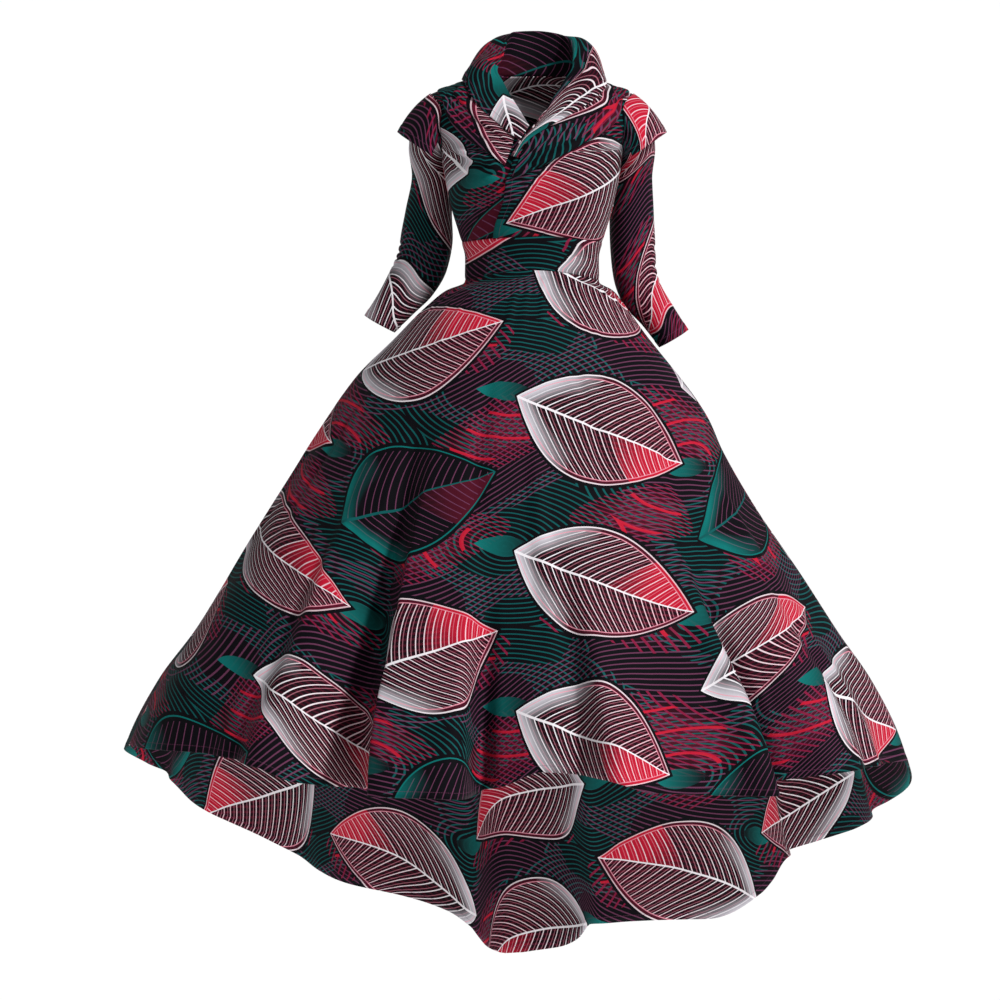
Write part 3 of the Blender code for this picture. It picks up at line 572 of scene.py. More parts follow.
def makeCotton():
    material = bpy.data.materials.new("waxPrintCotton")
    material.use_nodes = True
    tree = material.node_tree
    shader = tree.nodes["Principled BSDF"]
    finish = cottonFinish
    scaleBy = 3  # socket of a scaled vector
    share, under, over, mixed = 0, 6, 7, 2  # sockets of a mix of two colours
    printMap = addNode(tree, "ShaderNodeUVMap", uv_map="printMap")
    printPlace = addNode(
        tree, "ShaderNodeVectorMath", {0: printMap.outputs[0], scaleBy: 1000.0}, operation="SCALE",
    ).outputs[0]  # in millimetres
    parts = addNode(tree, "ShaderNodeSeparateXYZ", {0: printPlace})
    values = {"u": parts.outputs[0], "v": parts.outputs[1]}
    addSteps(tree, values, printSteps())
    colours = {name: linear(code) for name, code in waxPrint["colours"].items()}
    colour = colours["ground"]
    for part, colourName, strength in printLayers:
        mask = addNode(tree, "ShaderNodeMath", {0: values[part], 1: strength}, operation="MULTIPLY")
        layer = addNode(tree, "ShaderNodeMix", {
            share: mask.outputs[0], under: colour, over: colours[colourName],
        }, data_type="RGBA")
        colour = layer.outputs[mixed]
    # washed a little unevenly
    cloudy = addNode(tree, "ShaderNodeTexNoise", {
        "Vector": printPlace, "Scale": finish["cloudScale"], "Detail": finish["cloudDetail"],
    })
    faded = addNode(tree, "ShaderNodeMath", {
        0: cloudy.outputs[0], 1: finish["fade"], 2: 1 - 0.5 * finish["fade"],
    }, operation="MULTIPLY_ADD")
    washed = addNode(tree, "ShaderNodeVectorMath", {0: colour, scaleBy: faded.outputs[0]}, operation="SCALE")
    # stitches beside the finished edges
    edgeMap = addNode(tree, "ShaderNodeUVMap", uv_map="edgeMap")
    edgeParts = addNode(tree, "ShaderNodeSeparateXYZ", {0: edgeMap.outputs[0]})
    values.update({"way": edgeParts.outputs[0], "away": edgeParts.outputs[1]})
    addSteps(tree, values, [
        ("stitchRow", "COMPARE", "away", finish["stitchFrom"] / 1000, 0.5 * finish["stitchWidth"] / 1000),
        ("stitchCount", "MULTIPLY", "way", 1000 / finish["stitchLength"]),
        ("stitchPlace", "FRACT", "stitchCount"),
        ("stitchOn", "LESS_THAN", "stitchPlace", finish["stitchShare"]),
        ("stitch", "MULTIPLY", "stitchRow", "stitchOn"),
        ("stitchMask", "MULTIPLY", "stitch", finish["stitchStrength"]),
        ("warpTurn", "MULTIPLY", "u", 2 * math.pi / finish["threadSpacing"]),
        ("weftTurn", "MULTIPLY", "v", 2 * math.pi / finish["threadSpacing"]),
        ("warp", "SINE", "warpTurn"),
        ("weft", "SINE", "weftTurn"),
        ("weave", "MULTIPLY", "warp", "weft"),
        ("weaveAndStitch", "MULTIPLY_ADD", "stitch", finish["stitchRise"], "weave"),
    ])
    sewn = addNode(tree, "ShaderNodeMix", {
        share: values["stitchMask"], under: washed.outputs[0], over: colours["plum"],
    }, data_type="RGBA")
    crinkles = addNode(tree, "ShaderNodeTexNoise", {
        "Vector": printPlace, "Scale": 1 / finish["crinkleSize"],
        "Detail": finish["crinkleDetail"], "Distortion": finish["crinkleDistortion"],
    })
    soft = addNode(tree, "ShaderNodeBump", {
        "Height": crinkles.outputs[0], "Distance": finish["crinkleDepth"],
        "Strength": finish["crinkleStrength"],
    })
    fine = addNode(tree, "ShaderNodeBump", {
        "Height": values["weaveAndStitch"], "Distance": finish["threadDepth"],
        "Strength": finish["threadStrength"], "Normal": soft.outputs[0],
    })
    tree.links.new(sewn.outputs[mixed], shader.inputs["Base Color"])
    tree.links.new(fine.outputs[0], shader.inputs["Normal"])
    shader.inputs["Roughness"].default_value = finish["roughness"]
    shader.inputs["Specular IOR Level"].default_value = finish["specular"]
    shader.inputs["Sheen Weight"].default_value = finish["sheen"]
    shader.inputs["Sheen Roughness"].default_value = finish["sheenRoughness"]
    return material


cotton = makeCotton()
print("print and cotton made")

# The two fronts; the over front is the wearer's left one. Creases are in X and Z.
fronts = {
    "cuts": {
        "over": {
            "node": "bodice_front_left", "flat": (0.27, 0.33), "area": 0.065,
            "turn": 180, "shift": (0.291, 0.226),
        },
        "under": {
            "node": "bodice_front_right", "flat": (0.24, 0.33), "area": 0.054, "shift": (0.622, -0.046),
        },
    },
    "columns": 110,
    "spacing": (0.0036, 0.0018),  # of cloth between two points, along and across
    "sideFade": 0.25,
    "wrapLift": 0.0016,
    "wrapSpare": 0.008,
    "wrapFade": 0.035,
    "fanCentre": (-0.037, -0.139),
    "pleatStart": 0.034,
    "pleatFade": 0.5,
    "underPleatClear": 0.012,
    "underPleatFade": 0.020,
    # height, inner edge of the over front, inner edge of the under front
    "edges": np.array([
        (-0.267, -0.064, -0.040),
        (-0.248, -0.062, -0.036),
        (-0.194, -0.048, -0.023),
        (-0.148, -0.043, -0.014),
        (-0.139, -0.037, -0.012),
        (-0.120, -0.032, -0.006),
        (-0.100, -0.014, -0.003),
        (-0.083, 0.001, -0.007),
        (-0.067, 0.017, -0.017),
        (-0.053, 0.0265, -0.026),
        (-0.032, 0.040, -0.040),
        (-0.012, 0.055, -0.052),
        (0.000, 0.063, -0.060),
        (0.012, 0.070, -0.070),
    ]),
    # pleats that fan out of the cross-over: angle above level, reach, rise, half width above and below
    "pleats": {
        "under": [
            (19, 0.142, 0.0095, 0.020, 0.006),
            (0, 0.092, 0.0055, 0.011, 0.006),
            (-22, 0.064, 0.0042, 0.010, 0.006),
        ],
        "over": [
            (15, 0.150, 0.0060, 0.015, 0.006),
            (-6, 0.095, 0.0050, 0.011, 0.006),
            (-26, 0.070, 0.0036, 0.010, 0.006),
        ],
    },
    "creases": {
        "under": [
            (-0.048, -0.147, -0.092, -0.130, 0.003, 0.0016, 0.005),
            (-0.050, -0.160, -0.088, -0.178, -0.003, 0.0014, 0.006),
            (-0.146, -0.118, -0.112, -0.140, 0.004, -0.0018, 0.006),
            (-0.143, -0.136, -0.118, -0.153, 0.003, -0.0013, 0.005),
            (-0.108, -0.264, -0.098, -0.220, 0.002, -0.0014, 0.007),
            (-0.080, -0.262, -0.076, -0.232, 0.002, -0.0012, 0.006),
            (-0.128, -0.220, -0.096, -0.205, 0.003, -0.0012, 0.007),
        ],
        "over": [
            (-0.026, -0.146, 0.048, -0.134, 0.004, 0.0017, 0.006),
            (-0.030, -0.160, 0.034, -0.172, -0.004, 0.0014, 0.006),
            (0.148, -0.120, 0.108, -0.138, -0.004, -0.0019, 0.006),
            (0.144, -0.138, 0.122, -0.158, -0.003, -0.0013, 0.005),
            (0.108, -0.263, 0.094, -0.214, -0.002, -0.0015, 0.007),
            (0.066, -0.260, 0.062, -0.228, 0.002, -0.0012, 0.006),
            (0.020, -0.254, 0.018, -0.226, 0.001, -0.0010, 0.006),
            (0.130, -0.214, 0.094, -0.196, -0.003, -0.0013, 0.008),
        ],
    },
}


edgeColumns = {"over": 1, "under": 2}  # in the table of edges


def panelHeights():
    below, beside, above = body["panelRows"]
    low, armpit = body["waistSeam"], body["armholeMiddle"] - body["armholeHalfHeight"]
    turnBy = np.linspace(math.pi, 0, beside + 1)
    armholeRows = body["armholeMiddle"] + body["armholeHalfHeight"] * np.cos(turnBy)
    shoulderRows = np.linspace(armholeRows[-1], body["panelTop"], above + 1)[1:]
    return np.concatenate([np.linspace(low, armpit, below)[:-1], armholeRows, shoulderRows])


def waistHeight(angle):
    # the waist seam rises a little in front
    return body["waistSeam"] + body["waistArch"] * np.clip(np.cos(np.radians(angle)), 0, 1) ** 2


def withArch(height, angle):
    # rows below the bust rise with the waist seam
    share = (body["bustHeight"] - height) / (body["bustHeight"] - body["waistSeam"])
    return height + (waistHeight(angle) - body["waistSeam"]) * np.clip(share, 0, None)


def frontLift(front, x, height):
    # the overlap of the two fronts, and the pleats that fan out of the cross-over
    f, side = fronts, 1 if front == "over" else -1
    overEdge, underEdge = (column(f["edges"], number, height) for number in edgeColumns.values())
    pleats = 0
    away, rise = (x - f["fanCentre"][0]) * side, height - f["fanCentre"][1]
    for angle, reach, lift, above, below in f["pleats"][front]:
        sine, cosine = math.sin(math.radians(angle)), math.cos(math.radians(angle))
        run, aside = away * cosine + rise * sine, rise * cosine - away * sine
        length = ease(run / f["pleatStart"]) * ease((1 - run / reach) / f["pleatFade"])
        pleats = pleats + lift * length * bump(aside / np.where(aside > 0, above, below))
    pleats = pleats + creases(f["creases"][front], x, height)
    reach = f["wrapFade"] + f["wrapSpare"]
    if front == "over":
        return f["wrapLift"] * ease((underEdge + reach - x) / f["wrapFade"]) + pleats
    pleats = pleats * ease((overEdge - f["underPleatClear"] - x) / f["underPleatFade"])
    return pleats - f["wrapLift"] * ease((x - overEdge + reach) / f["wrapFade"])


def seamDips(shape, spacing, sides):
    # cloth is drawn in along a sewn edge; spacing is the cloth between two points, along and across
    along, across = (np.arange(count) * step for count, step in zip(shape, spacing))
    steps = {
        "firstRow": along[:, None],
        "lastRow": along[::-1, None],
        "firstColumn": across[None],
        "lastColumn": across[None, ::-1],
    }
    away = np.full(shape, cloth["farFromEdge"])
    for side in sides:
        away = np.minimum(away, steps[side])
    return -cloth["seamDip"] * bump(away / cloth["seamWidth"])


def sideGap():
    # half a seam's gap at the side, in degrees
    return math.degrees(0.5 * cloth["seamGap"] / body["sideRadius"])


def makeFront(name, front):
    side = 1 if front == "over" else -1
    rowHeights = panelHeights()[:, None]
    inner = angleAt(column(fronts["edges"], edgeColumns[front], rowHeights), rowHeights)
    outer = side * (armholeAngle(rowHeights, frontDepth) - sideGap())
    share = np.linspace(0, 1, fronts["columns"])[None]
    angle = inner + (outer - inner) * share
    height = withArch(rowHeights, angle)
    height[0] += 0.5 * cloth["seamGap"]
    x = onBody(angle, height)[..., 0]
    lift = frontLift(front, x, height) * ease((1 - share) / fronts["sideFade"])
    lift = lift + seamDips(lift.shape, fronts["spacing"], ("firstRow", "lastColumn"))
    points = offBody(angle, height, lift)
    cut = fronts["cuts"][front]
    addSheet(name, cut, points, anchor=points[:, 0, 0], edges=("firstColumn",))


makeFront("frontOver", "over")
makeFront("frontUnder", "under")

# The back of the bodice
backPanel = {
    "cut": {"node": "bodice_back", "flat": (0.42, 0.32), "area": 0.118, "shift": (0.09, 0.11)},
    "columns": 150,
    "spacing": (0.0036, 0.0026),
    "creases": [
        (0.062, -0.060, 0.112, -0.128, 0.010, -0.0018, 0.009),
        (-0.056, -0.064, -0.108, -0.136, -0.010, -0.0016, 0.010),
        (-0.064, -0.236, 0.030, -0.243, 0.004, -0.0016, 0.007),
        (-0.012, -0.224, 0.076, -0.230, -0.004, -0.0013, 0.006),
        (0.118, -0.226, 0.082, -0.196, 0.003, -0.0014, 0.007),
        (-0.120, -0.216, -0.086, -0.192, -0.003, -0.0012, 0.007),
        (0.146, -0.122, 0.120, -0.150, 0.003, -0.0014, 0.006),
        (-0.144, -0.126, -0.116, -0.158, -0.003, -0.0015, 0.006),
    ],
}


def makeBack():
    b = backPanel
    rowHeights = panelHeights()[:, None]
    reach = armholeAngle(rowHeights, backDepth) - sideGap()
    share = np.linspace(-1, 1, b["columns"])[None]
    angle = 180 - reach * share
    height = rowHeights + 0 * share
    height[0] += 0.5 * cloth["seamGap"]
    lift = creases(b["creases"], onBody(angle, height)[..., 0], height)
    lift = lift + seamDips(lift.shape, b["spacing"], ("firstRow", "firstColumn", "lastColumn"))
    addSheet("bodiceBack", b["cut"], offBody(angle, height, lift), middle=b["columns"] // 2)


makeBack()

# The waistband; its creases are in metres round the band and height
band = {
    "cut": {"node": "waistband", "flat": (0.67, 0.07), "shift": (-0.315, 0.155)},
    "columns": 260,
    "rows": 20,
    "spacing": (0.0035, 0.0027),
    "degree": 0.002,  # metres of creased cloth for one degree round the band
    "creases": [
        (-0.10, -0.300, 0.02, -0.292, 0.004, -0.0010, 0.006),
        (0.03, -0.282, 0.13, -0.288, -0.003, -0.0010, 0.005),
        (-0.17, -0.286, -0.06, -0.278, 0.003, -0.0008, 0.005),
        (0.22, -0.300, 0.33, -0.306, 0.004, -0.0011, 0.006),
        (-0.33, -0.296, -0.22, -0.304, 0.004, -0.0010, 0.006),
    ],
}


def makeBand():
    angle = 180 + np.linspace(0, 360, band["columns"], endpoint=False)[None]
    share = np.linspace(0, 1, band["rows"])[:, None]
    arch = np.clip(np.cos(np.radians(angle)), 0, 1) ** 2
    low = body["bandHem"] + body["bandArch"] * arch + 0.5 * cloth["seamGap"]
    high = waistHeight(angle) - 0.5 * cloth["seamGap"]
    height = low + (high - low) * share
    lift = creases(band["creases"], turned(angle) * band["degree"], height, wrap=360 * band["degree"])
    lift = lift + seamDips(lift.shape, band["spacing"], ("firstRow", "lastRow"))
    addSheet("waistBand", band["cut"], offBody(angle, height, lift), around=True)


makeBand()
print("bodice made")

# The sleeves: middle x, y and z, lean of the ring, half width across and front to back
sleeves = {
    "cuts": {
        "sleeve_right": {
            "node": "sleeve_right", "flat": (0.28, 0.42), "area": 0.095, "shift": (0.10, 0.02),
        },
        "sleeve_left": {
            "node": "sleeve_left", "flat": (0.28, 0.43), "area": 0.095, "shift": (0.29, 0.10),
        },
    },
    "rings": 130,
    "columns": 96,
    "headShares": (0, 0.25, 0.5, 0.75),  # of the way from the armhole's seam to the first ring
    "spacing": (0.003, 0.0029),
    "creaseRadius": 0.04,
    "start": -0.0006,
    "sleeve_right": np.array([
        (0.1798, 0.012, -0.0856, 52, 0.0412, 0.0455),
        (0.1798, 0.036, -0.1180, 22, 0.0312, 0.0450),
        (0.1705, 0.058, -0.1650, 6, 0.0335, 0.0430),
        (0.1755, 0.062, -0.2200, 5, 0.0390, 0.0430),
        (0.1795, 0.060, -0.2700, 8, 0.0440, 0.0430),
        (0.1870, 0.055, -0.3050, 20, 0.0440, 0.0430),
        (0.2040, 0.047, -0.3380, 33, 0.0415, 0.0380),
        (0.2310, 0.034, -0.3740, 34, 0.0340, 0.0330),
        (0.2590, 0.022, -0.4085, 29, 0.0285, 0.0285),
    ]),
    "sleeve_left": np.array([
        (0.1798, 0.012, -0.0856, 52, 0.0412, 0.0455),
        (0.1798, 0.036, -0.1180, 22, 0.0312, 0.0450),
        (0.1705, 0.058, -0.1650, 3, 0.0335, 0.0430),
        (0.1695, 0.062, -0.2200, 2, 0.0370, 0.0420),
        (0.1710, 0.060, -0.2700, 3, 0.0380, 0.0410),
        (0.1745, 0.056, -0.3200, 10, 0.0370, 0.0390),
        (0.1850, 0.049, -0.3560, 26, 0.0360, 0.0360),
        (0.2130, 0.032, -0.3940, 35, 0.0305, 0.0310),
        (0.2410, 0.016, -0.4330, 31, 0.0280, 0.0280),
    ]),
    # round the sleeve from its outer side with the front positive, and down it, both in metres
    "creases": {
        "sleeve_right": [
            (-0.030, 0.190, 0.040, 0.200, 0.006, -0.0022, 0.008),
            (-0.042, 0.214, 0.034, 0.221, 0.007, -0.0030, 0.009),
            (-0.028, 0.240, 0.050, 0.243, 0.006, -0.0026, 0.008),
            (-0.020, 0.262, 0.042, 0.268, 0.004, -0.0016, 0.007),
            (0.075, 0.150, 0.050, 0.215, 0.008, -0.0016, 0.009),
            (-0.100, 0.030, -0.062, 0.085, 0.006, -0.0018, 0.008),
            (0.105, 0.035, 0.070, 0.075, -0.006, -0.0016, 0.007),
            (0.110, 0.180, 0.100, 0.260, 0.006, 0.0018, 0.012),
        ],
        "sleeve_left": [
            (-0.034, 0.205, 0.036, 0.198, 0.006, -0.0020, 0.008),
            (-0.030, 0.232, 0.046, 0.240, 0.006, -0.0028, 0.009),
            (-0.044, 0.262, 0.030, 0.262, 0.005, -0.0024, 0.008),
            (-0.016, 0.286, 0.044, 0.290, 0.004, -0.0016, 0.007),
            (0.070, 0.168, 0.048, 0.232, 0.008, -0.0014, 0.009),
            (-0.096, 0.036, -0.060, 0.092, 0.006, -0.0017, 0.008),
            (0.102, 0.030, 0.072, 0.072, -0.006, -0.0018, 0.007),
            (0.108, 0.190, 0.098, 0.270, 0.006, 0.0016, 0.012),
        ],
    },
}


def makeSleeve(name, node, side):
    s = sleeves
    turnBy = np.linspace(0, 2 * math.pi, s["columns"], endpoint=False)[None]
    start = armhole(np.degrees(turnBy), side) + np.array([side * s["start"], 0, 0])
    share = np.linspace(0, 1, s["rings"])[:, None]
    x, y, z, lean, across, deep = stations(s[node], share)
    length = share * np.sum(np.linalg.norm(np.diff(s[node][:, :3], axis=0), axis=1))
    radius = 0.5 * (across + deep)
    aroundBy = ((turnBy + math.pi) % (2 * math.pi) - math.pi) * s["creaseRadius"]
    lift = creases(s["creases"][node], aroundBy, length, wrap=2 * math.pi * s["creaseRadius"])
    lift = lift + seamDips(lift.shape, s["spacing"], ("firstRow",))
    grow = 1 + lift / radius
    out = np.stack([np.cos(np.radians(lean)), 0 * lean, np.sin(np.radians(lean))], -1)
    ring = np.stack([x + 0 * turnBy, y - deep * grow * np.sin(turnBy), z + 0 * turnBy], -1)
    ring = ring + out * (across * grow * np.cos(turnBy))[..., None]
    ring[..., 0] *= side
    heads = [start + (ring[:1] - start) * t for t in s["headShares"]]
    points = np.concatenate([*heads, ring])
    front = s["columns"] // 4
    addSheet(name, s["cuts"][node], points, around=True, middle=front, edges=("lastRow",))


makeSleeve("sleeveRight", "sleeve_right", -1)
makeSleeve("sleeveLeft", "sleeve_left", 1)

# The pointed caps over the sleeves' heads: angle round the armhole, and the free edge's x, y and z
caps = {
    "cuts": {
        -1: {"node": "cap_right", "flat": (0.22, 0.10), "area": 0.015, "shift": (0.17, 0.22)},
        1: {"node": "cap_left", "flat": (0.22, 0.10), "area": 0.015, "shift": (0.24, 0.13)},
    },
    "columns": 90,
    "rows": 42,
    "bow": 0.006,
    "bowLean": 53,
    "standOff": 0.0026,
    "start": -0.0004,
    "edge": np.array([
        (-120, 0.1640, 0.088, -0.113),
        (-85, 0.1930, 0.085, -0.104),
        (-42, 0.2150, 0.052, -0.092),
        (0, 0.2280, 0.002, -0.0815),
        (42, 0.2130, -0.038, -0.090),
        (85, 0.1900, -0.054, -0.104),
        (120, 0.1690, -0.054, -0.118),
    ], float),
    "fluteGrowth": 1.5,
    # flutes: angle, rise, half width in degrees
    "flutes": {
        1: [(-60, 0.0020, 20), (-18, -0.0016, 16), (26, 0.0018, 18), (64, -0.0014, 15), (96, 0.0016, 16)],
        -1: [(-72, 0.0018, 18), (-30, -0.0018, 18), (14, 0.0020, 16), (52, -0.0016, 18), (90, 0.0014, 14)],
    },
}


def makeCap(name, side):
    c = caps
    angle = np.linspace(c["edge"][0, 0], c["edge"][-1, 0], c["columns"])[None]
    level = np.linspace(0, 1, c["rows"])[:, None]
    seam = armhole(angle, 1)
    away = unit(seam * np.array([0, 1, 1]) - np.array([0, 0, body["armholeMiddle"]]))
    seam = seam + away * c["standOff"] + np.array([c["start"], 0, 0])
    edge = np.stack([column(c["edge"], i, angle) for i in (1, 2, 3)], -1)
    lean = math.radians(c["bowLean"])
    outward = np.array([math.cos(lean), 0, 0]) + away * math.sin(lean)
    flutes = sum(rise * bump((angle - place) / width) for place, rise, width in c["flutes"][side])
    lift = 4 * level * (1 - level) * c["bow"] + flutes * level ** c["fluteGrowth"]
    points = seam + (edge - seam) * level[..., None] + outward * lift[..., None]
    points = points * np.array([side, 1, 1])
    addSheet(name, c["cuts"][side], points, middle=c["columns"] // 2, edges=("lastRow",))


makeCap("capRight", -1)
makeCap("capLeft", 1)
print("sleeves and caps made")

# The draped shawl layers: upper edge x and z, lower edge x and z, from the shoulder seam to the cross-over
drapes = {
    "cuts": {
        "drape_right": {
            "node": "drape_right", "flat": (0.09, 0.20), "area": 0.013, "turn": 62, "shift": (0.03, 0.20),
        },
        "drape_left": {
            "node": "drape_left", "flat": (0.11, 0.27), "area": 0.017, "turn": -60, "shift": (0.12, 0.03),
        },
    },
    "columns": 72,
    "rows": 170,
    "lift": 0.0036,
    "ridge": 0.0045,
    "endRidge": 0.35,
    "ridgeGrowth": 3,
    "wander": 0.02,
    "wanderTurn": 9,  # radians of the wander from end to end
    "drape_right": np.array([
        (0.104, 0.0045, 0.150, -0.0107),
        (0.103, -0.0040, 0.150, -0.0200),
        (0.098, -0.0140, 0.144, -0.0430),
        (0.083, -0.027, 0.130, -0.0660),
        (0.063, -0.041, 0.102, -0.0900),
        (0.043, -0.057, 0.074, -0.1080),
        (0.026, -0.075, 0.046, -0.1300),
    ]),
    "drape_left": np.array([
        (0.116, 0.0006, 0.152, -0.0113),
        (0.113, -0.0070, 0.151, -0.0220),
        (0.102, -0.0160, 0.145, -0.0500),
        (0.079, -0.029, 0.118, -0.0760),
        (0.050, -0.045, 0.078, -0.0980),
        (0.022, -0.062, 0.038, -0.1200),
        (0.002, -0.079, 0.000, -0.1380),
        (-0.008, -0.091, -0.036, -0.1520),
    ]),
    # across the layer: place and rise; a pleat climbs slowly and drops at its fold
    "pleats": np.array([
        (0.00, 0.05),
        (0.10, 0.25),
        (0.36, 1.00),
        (0.41, 0.90),
        (0.45, 0.20),
        (0.52, 0.22),
        (0.66, 0.50),
        (0.70, 0.42),
        (0.73, 0.28),
        (0.90, 1.00),
        (0.96, 0.90),
        (1.00, 0.30),
    ]),
}


def makeDrape(name, node, side):
    d = drapes
    front = "over" if side > 0 else "under"
    upperX, upperZ, lowerX, lowerZ = d[node].T
    ends = np.stack([angleAt(upperX, upperZ), upperZ, angleAt(lowerX, lowerZ), lowerZ], 1)
    ends[0, 0] = ends[0, 2] = 90  # the shoulder seam lies in the side plane
    share = np.linspace(0, 1, d["rows"])[:, None]
    upper, upperHeight, lower, lowerHeight = stations(ends, share)
    place = np.linspace(0, 1, d["columns"])[None]
    # the pleats wander a little on their way down
    sway = np.sin(d["wanderTurn"] * share + side) * np.sin(math.pi * place)
    wander = place + d["wander"] * sway
    rise = column(d["pleats"], 1, wander)
    angle = side * (upper + (lower - upper) * place)
    height = upperHeight + (lowerHeight - upperHeight) * place
    x = onBody(angle, height)[..., 0]
    ridge = d["ridge"] * rise * ease(d["endRidge"] + d["ridgeGrowth"] * np.minimum(share, 1 - share))
    points = offBody(angle, height, d["lift"] + ridge + frontLift(front, x, height))
    addSheet(name, d["cuts"][node], points)


makeDrape("drapeRight", "drape_right", -1)
makeDrape("drapeLeft", "drape_left", 1)

# The collar, from its right end round the neck to its left end: roll x, y and z, free edge x, y and z,
# seam x and z, and how far its fall bows out and up. A y of None stands in front of the bodice.
collar = {
    "cut": {"node": "collar", "flat": (0.62, 0.20), "area": 0.085, "turn": 90, "shift": (0.10, 0.06)},
    "rows": 230,
    "stand": 12,
    "turn": 10,
    "fall": 30,
    "rollRadius": 0.0026,
    "rollLift": 0.0060,
    "fallLift": 0.0095,
    "fallControl": 0.4,
    "crossingTop": -0.020,
    "stations": [
        (-0.0055, None, -0.0630, -0.0215, None, -0.0870, -0.0125, -0.0700, 0.001, 0),
        (-0.0200, None, -0.0400, -0.044, None, -0.0700, -0.0290, -0.0470, 0.002, 0),
        (-0.0360, None, -0.0160, -0.082, None, -0.0390, -0.0450, -0.0230, 0.004, 0),
        (-0.0500, None, 0.0080, -0.103, -0.064, -0.0160, -0.0570, -0.0020, 0.008, 0),
        (-0.0600, -0.032, 0.0280, -0.115, -0.026, 0.0060, -0.0685, 0.0100, 0.011, 0.004),
        (-0.0500, -0.008, 0.0500, -0.118, 0.010, 0.0080, -0.0760, 0.0108, 0.013, 0.014),
        (-0.0430, 0.026, 0.0740, -0.110, 0.066, 0.0020, -0.0680, 0.0108, 0.013, 0.030),
        (-0.0300, 0.056, 0.0860, -0.075, 0.108, -0.0080, -0.0420, 0.0108, 0.026, 0.01),
        (0.0060, 0.068, 0.0870, 0.004, 0.126, -0.0130, 0.0040, 0.0108, 0.026, 0),
        (0.0420, 0.060, 0.0830, 0.080, 0.108, -0.0080, 0.0470, 0.0108, 0.024, 0.016),
        (0.0640, 0.036, 0.0740, 0.115, 0.066, 0.0010, 0.0690, 0.0108, 0.012, 0.042),
        (0.0710, 0.004, 0.0550, 0.124, 0.012, 0.0075, 0.0765, 0.0108, 0.010, 0.024),
        (0.0700, -0.030, 0.0350, 0.127, -0.031, 0.0020, 0.0685, 0.0100, 0.011, 0.006),
        (0.0530, None, 0.0060, 0.110, -0.064, -0.0170, 0.0595, -0.0030, 0.008, 0),
        (0.0300, None, -0.0270, 0.073, None, -0.0410, 0.0375, -0.0330, 0.005, 0),
        (0.0050, None, -0.0600, 0.029, None, -0.0640, 0.0115, -0.0690, 0.003, 0),
        (-0.0200, None, -0.0880, -0.008, None, -0.0880, -0.0130, -0.0940, 0.002, 0),
        (-0.0350, None, -0.1130, -0.024, None, -0.1150, -0.0275, -0.1150, 0.001, 0),
    ],
    # soft ripples of the fall: share of the way along, rise, half width
    "ripples": [
        (0.27, 0.0022, 0.035),
        (0.36, -0.0018, 0.030),
        (0.45, 0.0026, 0.045),
        (0.55, -0.0016, 0.030),
        (0.62, 0.0020, 0.035),
        (0.70, -0.0014, 0.025),
        (0.76, 0.0012, 0.025),
    ],
    "rippleReach": 0.75,  # of half a wave that fits on the fall
}


def beforeBody(x, height, lift):
    # a point this far in front of the worn form
    level = np.minimum(height, body["neckTop"])
    return np.array([x, onBody(angleAt(x, level), level)[1] - lift, height])


def collarStation(row):
    # one station's roll, free edge and seam, and its bows
    c = collar
    rollX, rollY, rollZ, edgeX, edgeY, edgeZ, seamX, seamZ, bow, crown = row
    crossing = fronts["wrapLift"] if seamZ < c["crossingTop"] else 0.0
    roll, edge = (rollX, rollY, rollZ), (edgeX, edgeY, edgeZ)
    if rollY is None:
        roll = beforeBody(rollX, rollZ, c["rollLift"] + crossing)
    if edgeY is None:
        edge = beforeBody(edgeX, edgeZ, c["fallLift"] + crossing)
    level = min(seamZ, body["neckTop"])
    angle = angleAt(seamX, level)
    if rollY is not None and rollY > 0:
        angle = 180 - angle  # behind the neck
    seam = offBody(angle, level, crossing)
    return [*roll, *edge, seamX, seam[1], seamZ, bow, crown]


def makeCollar():
    c = collar
    table = np.array([collarStation(row) for row in c["stations"]], float)
    share = np.linspace(0, 1, c["rows"])
    values = np.stack(stations(table, share), 1)
    roll, edge, seam = values[:, :3], values[:, 3:6], values[:, 6:9]
    bow, crown = values[:, 9:10], values[:, 10:]
    inward = unit(unit(edge - roll) + unit(seam - roll))
    across = unit((edge - roll) - inward * np.sum((edge - roll) * inward, 1, keepdims=True))
    bends = np.linspace(-math.pi / 2, math.pi / 2, c["turn"])
    turn = [roll + c["rollRadius"] * (inward * (1 - math.cos(b)) + across * math.sin(b)) for b in bends]
    stand = [seam + (turn[0] - seam) * t for t in np.linspace(0, 1, c["stand"])[:-1]]
    control = turn[-1] + (edge - turn[-1]) * c["fallControl"] + across * 2 * bow + [0, 0, 1] * crown
    ripple = sum(rise * bump((share - place) / width) for place, rise, width in c["ripples"])[:, None]
    fall = []
    for t in np.linspace(0, 1, c["fall"])[1:]:
        arc = turn[-1] * (1 - t) ** 2 + control * 2 * t * (1 - t) + edge * t * t
        fall.append(arc + across * ripple * math.sin(c["rippleReach"] * math.pi * t))
    points = np.stack([*stand, *turn, *fall], 1)
    addSheet("shawlCollar", c["cut"], points, middle=c["stand"], edges=("lastColumn",))


makeCollar()
print("drapes and collar made")

